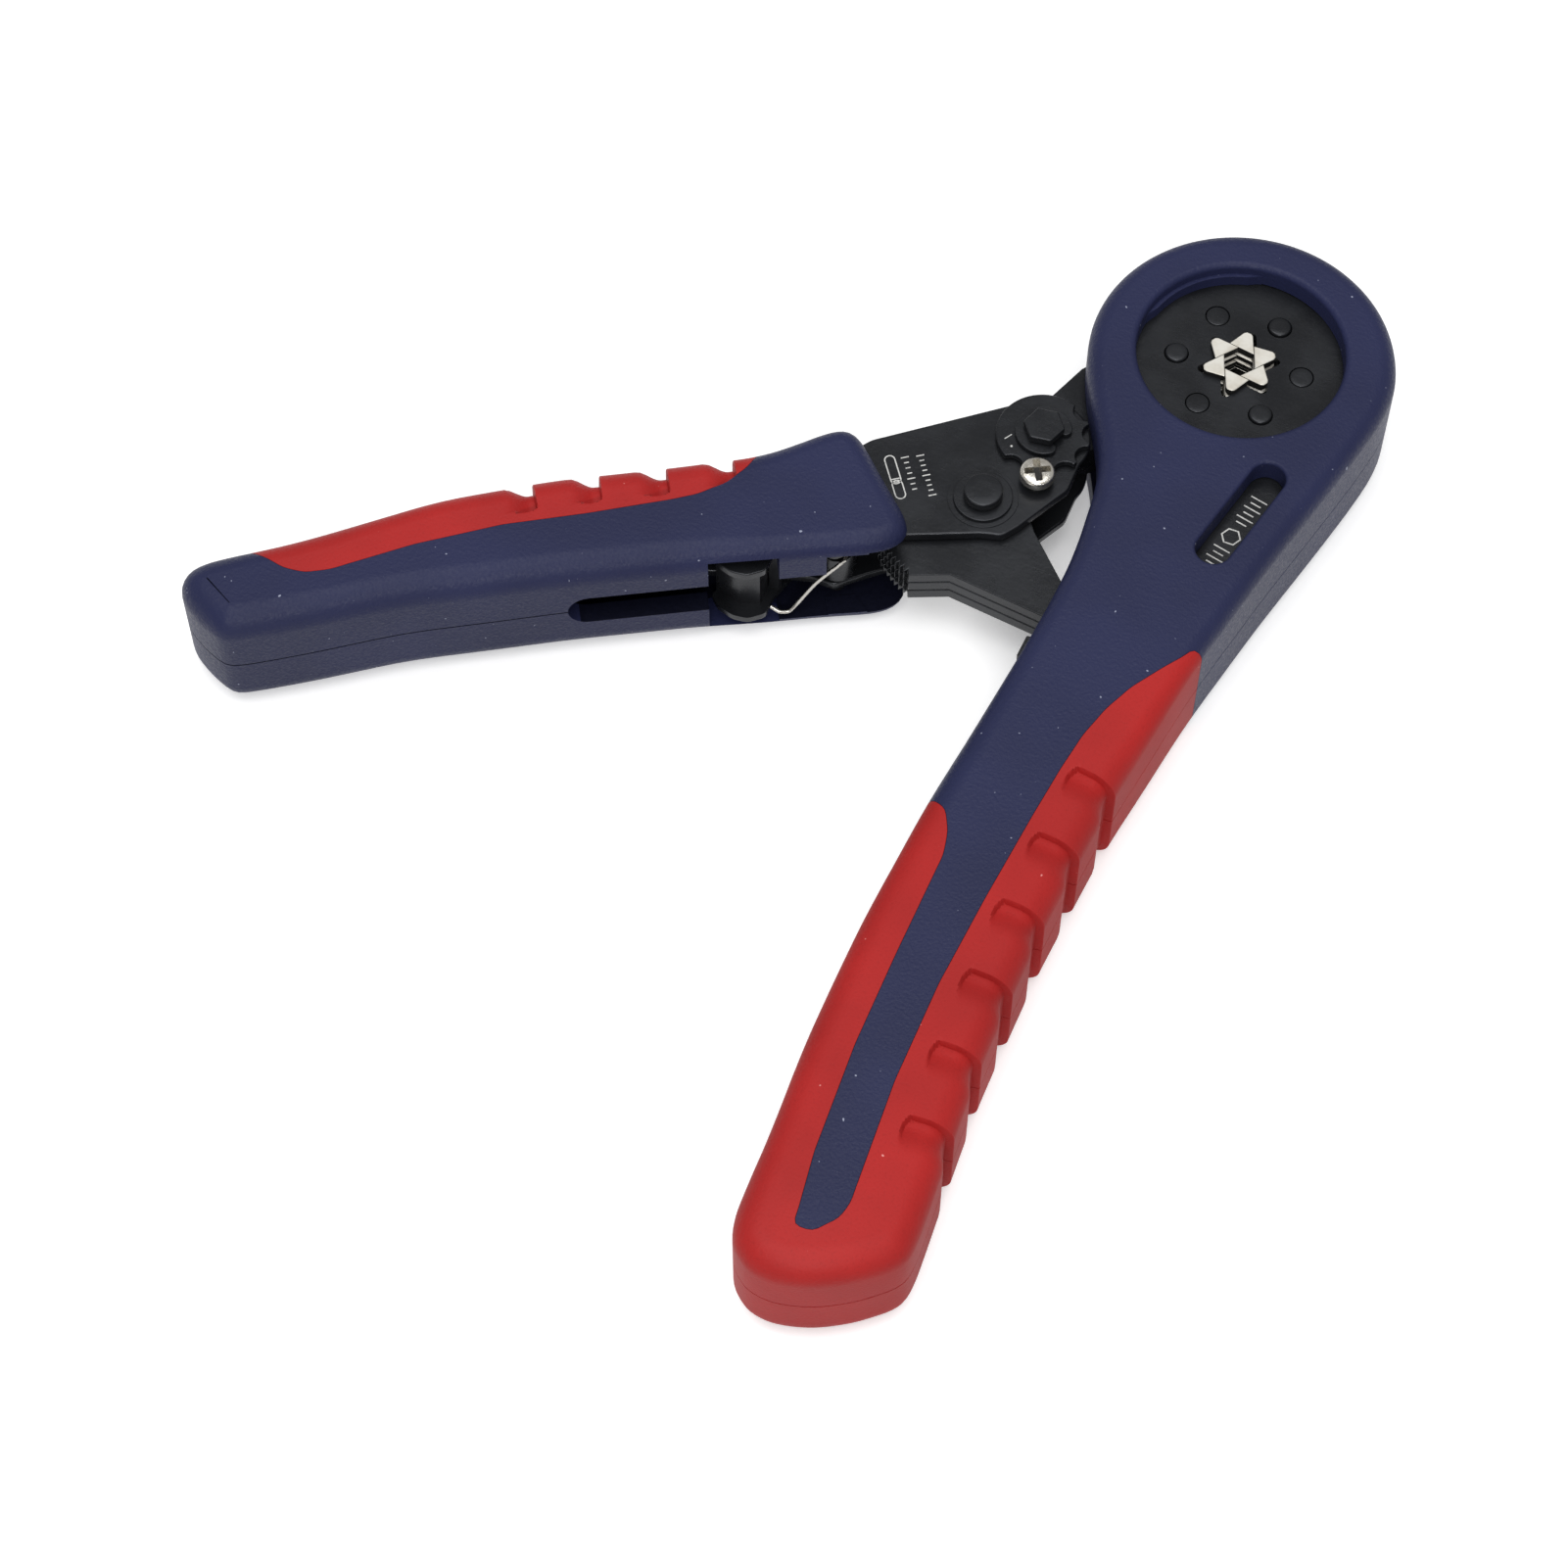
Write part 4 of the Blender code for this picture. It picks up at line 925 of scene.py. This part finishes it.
def ringSurface(centre, inner, outer, levels, bevel, count=72):
    # a washer: its section is a rectangle with small rounds, swung once round
    turn = np.arange(count) / count * 2 * np.pi
    quarter = np.linspace(0.0, np.pi / 2, 4)
    corners = [(outer - bevel, levels[1] - bevel, 0.0), (inner + bevel, levels[1] - bevel, 90.0),
               (inner + bevel, levels[0] + bevel, 180.0), (outer - bevel, levels[0] + bevel, 270.0)]
    section = np.concatenate([np.stack([x + bevel * np.cos(quarter + np.radians(start)),
                                        z + bevel * np.sin(quarter + np.radians(start))], 1)
                              for x, z, start in corners])
    radius, height = section[:, 0], section[:, 1]
    points = np.stack([centre[0] + radius[None] * np.cos(turn)[:, None],
                       centre[1] + radius[None] * np.sin(turn)[:, None],
                       np.broadcast_to(height[None], (count, len(section)))], -1)
    index = np.arange(count * len(section)).reshape(count, -1)
    nextTurn, nextPoint = np.roll(index, -1, 0), np.roll(index, -1, 1)
    quads = np.stack([index, nextTurn, np.roll(nextTurn, -1, 1), nextPoint], -1).reshape(-1, 4)
    return points.reshape(-1, 3), quads.tolist()


rivetValues = {"headRadius": 2.75, "headEdge": 0.28, "shank": 2.0, "washerRadius": 4.2, "washerEdge": 0.14,
               "seatRadius": 5.0, "seatEdge": 0.05}


def makePivot():
    for side in ("front", "rear"):
        node = f"pivot_washer_{side}"
        low, high = levelsOf(node)
        washer = rawObject(f"washer_{side}", ringSurface(pivot, plateValues["pivotHole"],
                                                         rivetValues["washerRadius"], (low, high),
                                                         rivetValues["washerEdge"]))
        finishPiece(washer, black, "handle", "blackened_steel", node, sharp=60.0)
        face = levelsOf(f"handle_plate_{side}")
        seatLevels = (face[1] + 0.01, low - 0.01) if side == "front" else (high + 0.01, face[0] - 0.01)
        seat = rawObject(f"washer_seat_{side}",
                         ringSurface(pivot, plateValues["pivotHole"] + 0.1, rivetValues["seatRadius"],
                                     seatLevels, rivetValues["seatEdge"]))
        finishPiece(seat, black, "handle", "blackened_steel", sharp=60.0)
    low, high = levelsOf("pivot_rivet")
    r, edge = rivetValues["headRadius"], rivetValues["headEdge"]
    turn = np.linspace(0.0, np.pi / 2, 6)
    rim = np.stack([r - edge * (1 - np.cos(turn)), high - edge * (1 - np.sin(turn))], 1)
    neck = [(rivetValues["shank"], 15.3), (2.5, 15.3), (r, 15.45)]
    upper = np.concatenate([neck, rim, [(1.2, high + 0.03)]])
    lower = np.stack([upper[::-1, 0], thickness - upper[::-1, 1]], 1)
    piece = rawObject("pivot_stud", turnedSurface(pivot, np.concatenate([lower, upper])))
    finishPiece(piece, black, "handle", "blackened_steel", "pivot_rivet", sharp=60.0)


wheelValues = {"step": 360.0 / 11, "first": -1, "last": 4, "radius": 6.7, "notchCentre": 7.25,
               "notchRadius": 1.75, "edge": 0.16}
clipValues = {"radius": 4.05, "inner": 2.1, "from": 24.0, "to": 304.0, "edge": 0.12}
studValues = {"shaft": 1.9, "foot": 3.2, "hexagon": 2.95, "seat": 16.62, "edge": 0.2}


def wheelLoop():
    # round notches at equal steps from the one that faces the screw, then a plain rim
    aim = math.degrees(math.atan2(*(lockScrew - camPin)[::-1]))
    radius, step = wheelValues["radius"], wheelValues["step"]
    points = []
    for notch in range(wheelValues["first"], wheelValues["last"] + 1):
        angle = aim + step * notch
        centre = polar(wheelValues["notchCentre"], angle, camPin)
        points.append(arc(centre, wheelValues["notchRadius"], angle + 245.0, angle + 115.0, 16))
        if notch < wheelValues["last"]:
            points.append(arc(camPin, radius, angle + step / 2 - 1.5, angle + step / 2 + 1.5, 3))
    plainFrom = aim + step * wheelValues["last"] + 15.5
    plainTo = aim + 360.0 + step * wheelValues["first"] - 15.5
    points.append(arc(camPin, radius, plainFrom, plainTo, 60))
    return relaxed(np.concatenate(points), 0.25, 1)


def ribbon(path, halfWidth, levels, closed=False):
    # a flat strip of even width along a path
    path = np.asarray(path, float)
    if closed:
        path = np.vstack([path, path[:1]])
    along = np.gradient(path, axis=0)
    if closed:
        along[0] = along[-1] = path[1] - path[-2]
    along /= np.linalg.norm(along, axis=1, keepdims=True)
    side = np.stack([-along[:, 1], along[:, 0]], 1) * halfWidth
    loop = np.concatenate([path - side, (path + side)[::-1]])
    return prism(loop, levels)


def tick(start, end, halfWidth, levels):
    return ribbon(np.linspace(start, end, 3), halfWidth, levels)


def makeAdjuster():
    low, high = levelsOf("adjusting_wheel")
    wheel = rawObject("star_wheel", sweep(wheelLoop(), slab((low, high), wheelValues["edge"], 3)))
    finishPiece(wheel, black, "handle", "blackened_steel", "adjusting_wheel", sharp=50.0)
    low, high = levelsOf("retaining_clip")
    first, last = clipValues["from"], clipValues["to"]
    outer = arc(camPin, clipValues["radius"], first, last, 60)
    endOne = arc(polar(3.1, last, camPin), 0.95, last, last + 180.0, 8)[1:-1]
    inner = arc(camPin, clipValues["inner"], last, first, 50)
    endTwo = arc(polar(3.1, first, camPin), 0.95, first - 180.0, first, 8)[1:-1]
    loop = relaxed(np.concatenate([outer, endOne, inner, endTwo]), 0.25, 1)
    clip = rawObject("clip_ring", sweep(loop, slab((low, high), clipValues["edge"], 3)))
    finishPiece(clip, black, "handle", "blackened_steel", "retaining_clip", sharp=50.0)
    low, high = levelsOf("cam_pin")
    foot, narrow = studValues["foot"], studValues["shaft"]
    shaft = turnedSurface(camPin, [(1.5, low), (foot - 0.1, low + 0.15), (foot, low + 0.3), (foot, 5.3),
                                   (narrow, 5.4), (narrow, 16.7)])
    hexagon = relaxed(arc(camPin, studValues["hexagon"], 8.0, 308.0, 6), 0.3, 1)
    head = sweep(hexagon, slab((studValues["seat"], high), studValues["edge"], 4))
    piece = rawObject("cam_stud", joined([shaft, head]))
    finishPiece(piece, black, "handle", "blackened_steel", "cam_pin", sharp=50.0)
    level = levelsOf("adjusting_wheel")[1]
    top = level + 0.03
    marks = [tick(polar(4.5, 205.0, camPin), polar(5.6, 212.0, camPin), 0.07, (level, top)),
             turnedSurface(polar(5.1, 228.0, camPin), [(0.16, level), (0.16, top)], 16)]
    finishPiece(rawObject("wheel_marks", joined(marks)), ink, "handle", "blackened_steel")


screwValues = {"radius": 2.5, "slot": 0.55, "slotReach": 2.05, "slotFloor": 16.1}


def makeLockScrew():
    low, high = levelsOf("lock_screw")
    turn = np.linspace(0.0, 1.0, 7)
    r = screwValues["radius"]
    crown = np.stack([r * np.sqrt(1 - turn ** 2 * 0.75), high - 0.75 + 0.75 * np.sin(turn * np.pi / 2)], 1)
    profile = np.concatenate([[(1.4, low), (1.4, 15.95), (r, 15.95)], crown])
    piece = rawObject("locking_screw", turnedSurface(lockScrew, profile))
    reach, half = screwValues["slotReach"], screwValues["slot"]
    for turned in (28.0, 118.0):
        along, across = polar(1.0, turned), polar(1.0, turned + 90.0)
        topShape = np.array([along * reach + across * half, -along * reach + across * half,
                             -along * reach - across * half, along * reach - across * half]) + lockScrew
        floorShape = (topShape - lockScrew) * 0.62 + lockScrew
        rings = np.stack([np.column_stack([floorShape, np.full(4, screwValues["slotFloor"])]),
                          np.column_stack([topShape, np.full(4, high + 0.4)])])
        carve(piece, "DIFFERENCE", rawObject("slot", closeRings(rings)))
    finishPiece(piece, nickel, "handle", "nickel", "lock_screw", sharp=40.0)
    # painted shade: the faces deep in the slot get the near-black flank steel
    piece.data.materials.append(flank)
    spots = np.array([(face.center.x, face.center.y, face.center.z) for face in piece.data.polygons]) / mm
    fromAxis = np.linalg.norm(spots[:, :2] - headCentre - lockScrew, axis=1)
    floor = screwValues["slotFloor"] - 0.1
    slotShade = (fromAxis < reach) & (spots[:, 2] > floor) & (spots[:, 2] < high - 0.45)
    piece.data.polygons.foreach_set("material_index", slotShade.astype(np.int32))


def makeRatchet():
    nose = polar(toothValues["radius"] + 0.3, 206.0, pivot)
    loop = np.concatenate([[nose, (-42.9, -41.6)], arc(pawlPivot, 2.6, 160.0, 380.0, 30)])
    piece = rawObject("ratchet_pawl", sweep(relaxed(loop, 0.35, 1), slab(levelsOf("pawl"), 0.15, 2)))
    hole = turnedSurface(pawlPivot, [(1.4, 6.0), (1.4, 14.0)])
    carve(piece, "DIFFERENCE", rawObject("hole", hole))
    finishPiece(piece, black, "pawl", "blackened_steel", "pawl")
    for node, centre, radius, name in (("pawl_pin", pawlPivot, 1.3, "pawl_axle"),
                                       ("lever_pin", leverPivot, 1.2, "lever_axle")):
        low, high = levelsOf(node)
        axle = rawObject(name, turnedSurface(centre, pinProfile(radius, low + 0.03, high - 0.03, 0.22), 40))
        finishPiece(axle, black, "handle", "blackened_steel", node, sharp=60.0)


leverValues = {"flange": 1.2, "edge": 0.2, "pinHole": 1.3}


def makeLever():
    # two flanges and the web between them, which follows the gap between the two cutting shapes
    flange = [(-47.8, -48.2), (-50.5, -45.8), (-54.0, -47.8), (-57.8, -57.1), (-56.3, -58.5), (-53.8, -59.2),
              (-51.6, -58.9), (-49.6, -57.2), (-49.6, -54.2)]
    inside = np.array([(-45.0, -50.0), (-45.0, -43.0), (-62.0, -43.0), (-62.0, -54.0), (-57.4, -55.0),
                       (-53.8, -55.8), (-52.0, -55.0), (-51.8, -53.4), (-48.0, -52.0)])
    outside = np.array([(-62.0, -55.2), (-57.4, -56.2), (-53.6, -57.0), (-50.9, -56.0), (-50.9, -53.0),
                        (-46.0, -53.0), (-46.0, -64.0), (-62.0, -64.0)])
    low, high = levelsOf("release_lever")
    profile = slab((low, high), leverValues["edge"], 3)
    piece = rawObject("thumb_lever", sweep(relaxed(flange, 0.5, 3), profile))
    between = (low + leverValues["flange"], high - leverValues["flange"])
    carve(piece, "DIFFERENCE", rawObject("gap", prism(inside[::-1], between)))
    carve(piece, "DIFFERENCE", rawObject("outside", prism(outside, between)))
    hole = turnedSurface(leverPivot, [(leverValues["pinHole"], low - 1), (leverValues["pinHole"], high + 1)])
    carve(piece, "DIFFERENCE", rawObject("hole", hole))
    finishPiece(piece, black, "release_lever", "blackened_steel", "release_lever", sharp=50.0)


springValues = {"wire": 0.3, "coil": 2.3, "turns": 3, "top": 16.9, "pitch": 0.68}


def makeSpring():
    turn = np.arange(springValues["turns"] * 28 + 1) / 28
    circle = polar(springValues["coil"], 30.0 - 360.0 * turn, pawlPivot)
    coil = np.column_stack([circle, springValues["top"] - springValues["pitch"] * turn])
    leg = np.array([(-40.3, -50.9, 14.87), (-43.9, -52.5, 9.5), (-46.0, -53.9, 5.2), (-46.9, -55.0, 3.9),
                    (-48.1, -55.6, 4.0), (-49.5, -55.5, 4.5)])
    spots = np.arange(len(leg))
    fine = np.linspace(0, len(leg) - 1, 40)
    legFine = np.stack([np.interp(fine, spots, leg[:, k]) for k in range(3)], 1)
    for _ in range(4):
        legFine[1:-1] = (legFine[:-2] + 2 * legFine[1:-1] + legFine[2:]) / 4
    piece = rawObject("return_spring", tube(np.concatenate([coil, legFine]), springValues["wire"]))
    finishPiece(piece, wireSteel, "handle", "spring_steel", "pawl_spring", sharp=60.0)


markValues = {"line": 0.09, "slotLine": 0.1, "hexagonLine": 0.12, "height": 0.03}


def markLevels(node):
    # a mark's underside and top on the plate's front face
    level = levelsOf(node)[1]
    return level, level + markValues["height"]


def makePlateMarks():
    # two rows of ticks beside the outline of a ferrule
    levels = markLevels("handle_plate_front")
    along = np.array([4.4, -6.2]) / np.linalg.norm([4.4, -6.2])
    across = np.array([-along[1], along[0]])
    surfaces = []
    for start, count, gap in (((-36.9, -30.3), 9, 0.86), ((-38.8, -31.4), 7, 0.92)):
        for number in range(count):
            length = 1.15 if number % 4 == 0 else 0.7
            base = np.array(start) + along * gap * number
            half = across * length / 2
            surfaces.append(tick(base - half, base + half, markValues["line"], levels))
    start = np.array((-40.6, -32.6))
    sleeve = stadium(start, start + along * 3.4, 0.72)
    surfaces.append(ribbon(sleeve, markValues["line"], levels, closed=True))
    cap = stadium(start + along * 4.3, start + along * 6.0, 0.72)
    surfaces.append(ribbon(cap, markValues["line"], levels, closed=True))
    for shift in (3.3, 3.85):
        base = start + along * shift
        surfaces.append(tick(base - across * 0.6, base + across * 0.6, markValues["line"], levels))
    finishPiece(rawObject("plate_marks", joined(surfaces)), ink, "handle", "blackened_steel")


def makeSlotMarks():
    # ticks on both sides of a hexagon, seen through the slot in the neck
    levels = markLevels("head_plate_front")
    slotStart, slotEnd = np.array(windowValues["slotStart"]), np.array(windowValues["slotEnd"])
    down = (slotEnd - slotStart) / np.linalg.norm(slotEnd - slotStart)
    across = np.array([down[1], -down[0]])
    centre = slotStart + down * 9.0
    hexagon = arc(centre, 1.35, 0.0, 300.0, 6)
    surfaces = [ribbon(hexagon, markValues["hexagonLine"], levels, closed=True)]
    for first, count in ((1.6, 6), (11.4, 4)):
        for number in range(count):
            base = slotStart + down * (first + 0.95 * number)
            half = across * (1.3 if number % 2 == 0 else 0.8)
            surfaces.append(tick(base - half, base + half, markValues["slotLine"], levels))
    finishPiece(rawObject("slot_marks", joined(surfaces)), ink, "frame", "blackened_steel")


print("mechanism")
makeHandlePlates()
makeFramePlates()
makePivot()
makeAdjuster()
makeLockScrew()
makeRatchet()
makeLever()
makeSpring()
makePlateMarks()
makeSlotMarks()

for node in frame["nodes"].values():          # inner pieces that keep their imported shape
    node.data.materials.clear()
    node.data.materials.append(black)

stageValues = {"azimuth": 21.8, "elevation": 60.0, "distance": 0.5439, "aim": (0.0148, -0.0188, 0.010),
               "lens": 92.2, "sensor": 36.0, "world": 0.4, "floorGlow": 0.3, "floorHalf": 3.0,
               "floorDrop": 0.0002}
lightValues = {"overhead": {"place": (-0.05, -0.05, 1.2), "size": (1.1, 1.1), "power": 10.4},
               "low_strip": {"place": (0.3, -0.75, 0.7), "size": (0.4, 0.05), "power": 3.6}}


def makeFloor():
    paint = Paint("floor_paper")
    fibre = paint.noise(400.0, 3.0)
    material = paint.set(Base_Color=paint.blend(fibre, (0.93, 0.93, 0.93, 1.0), (0.97, 0.97, 0.97, 1.0)),
                         Roughness=0.9, Emission_Color=(1.0, 1.0, 1.0, 1.0),
                         Emission_Strength=stageValues["floorGlow"])
    half = stageValues["floorHalf"]
    mesh = bpy.data.meshes.new("floor")
    mesh.from_pydata([(-half, -half, 0.0), (half, -half, 0.0), (half, half, 0.0), (-half, half, 0.0)], [],
                     [(0, 1, 2, 3)])
    floor = bpy.data.objects.new("floor", mesh)
    floor.location.z = -stageValues["floorDrop"]
    mesh.materials.append(material)
    bpy.context.collection.objects.link(floor)
    floor.visible_diffuse = False       # the tool's sides aren't lit from below


def makeLight(name):
    # a rectangular softbox that faces the middle of the floor
    values = lightValues[name]
    light = bpy.data.lights.new(name, "AREA")
    light.shape = "RECTANGLE"
    light.size, light.size_y = values["size"]
    light.energy = values["power"]
    holder = bpy.data.objects.new(name, light)
    holder.location = values["place"]
    holder.rotation_euler = (-Vector(values["place"])).to_track_quat("-Z", "Y").to_euler()
    bpy.context.collection.objects.link(holder)


def makeCamera():
    azimuth, elevation = math.radians(stageValues["azimuth"]), math.radians(stageValues["elevation"])
    back = Vector((math.sin(azimuth) * math.cos(elevation), -math.cos(azimuth) * math.cos(elevation),
                   math.sin(elevation)))
    camera = bpy.data.objects.new("camera", bpy.data.cameras.new("camera"))
    camera.data.lens = stageValues["lens"]
    camera.data.sensor_width = stageValues["sensor"]
    camera.data.clip_start = 0.01
    camera.location = Vector(stageValues["aim"]) + back * stageValues["distance"]
    camera.rotation_euler = (-back).to_track_quat("-Z", "Y").to_euler()
    bpy.context.collection.objects.link(camera)
    bpy.context.scene.camera = camera


print("stage")
makeFloor()
makeLight("overhead")
makeLight("low_strip")
makeCamera()
world = bpy.data.worlds.new("studio")
world.use_nodes = True
world.node_tree.nodes["Background"].inputs["Color"].default_value = (1.0, 1.0, 1.0, 1.0)
world.node_tree.nodes["Background"].inputs["Strength"].default_value = stageValues["world"]
bpy.context.scene.world = world
bpy.context.scene.view_settings.view_transform = "Standard"
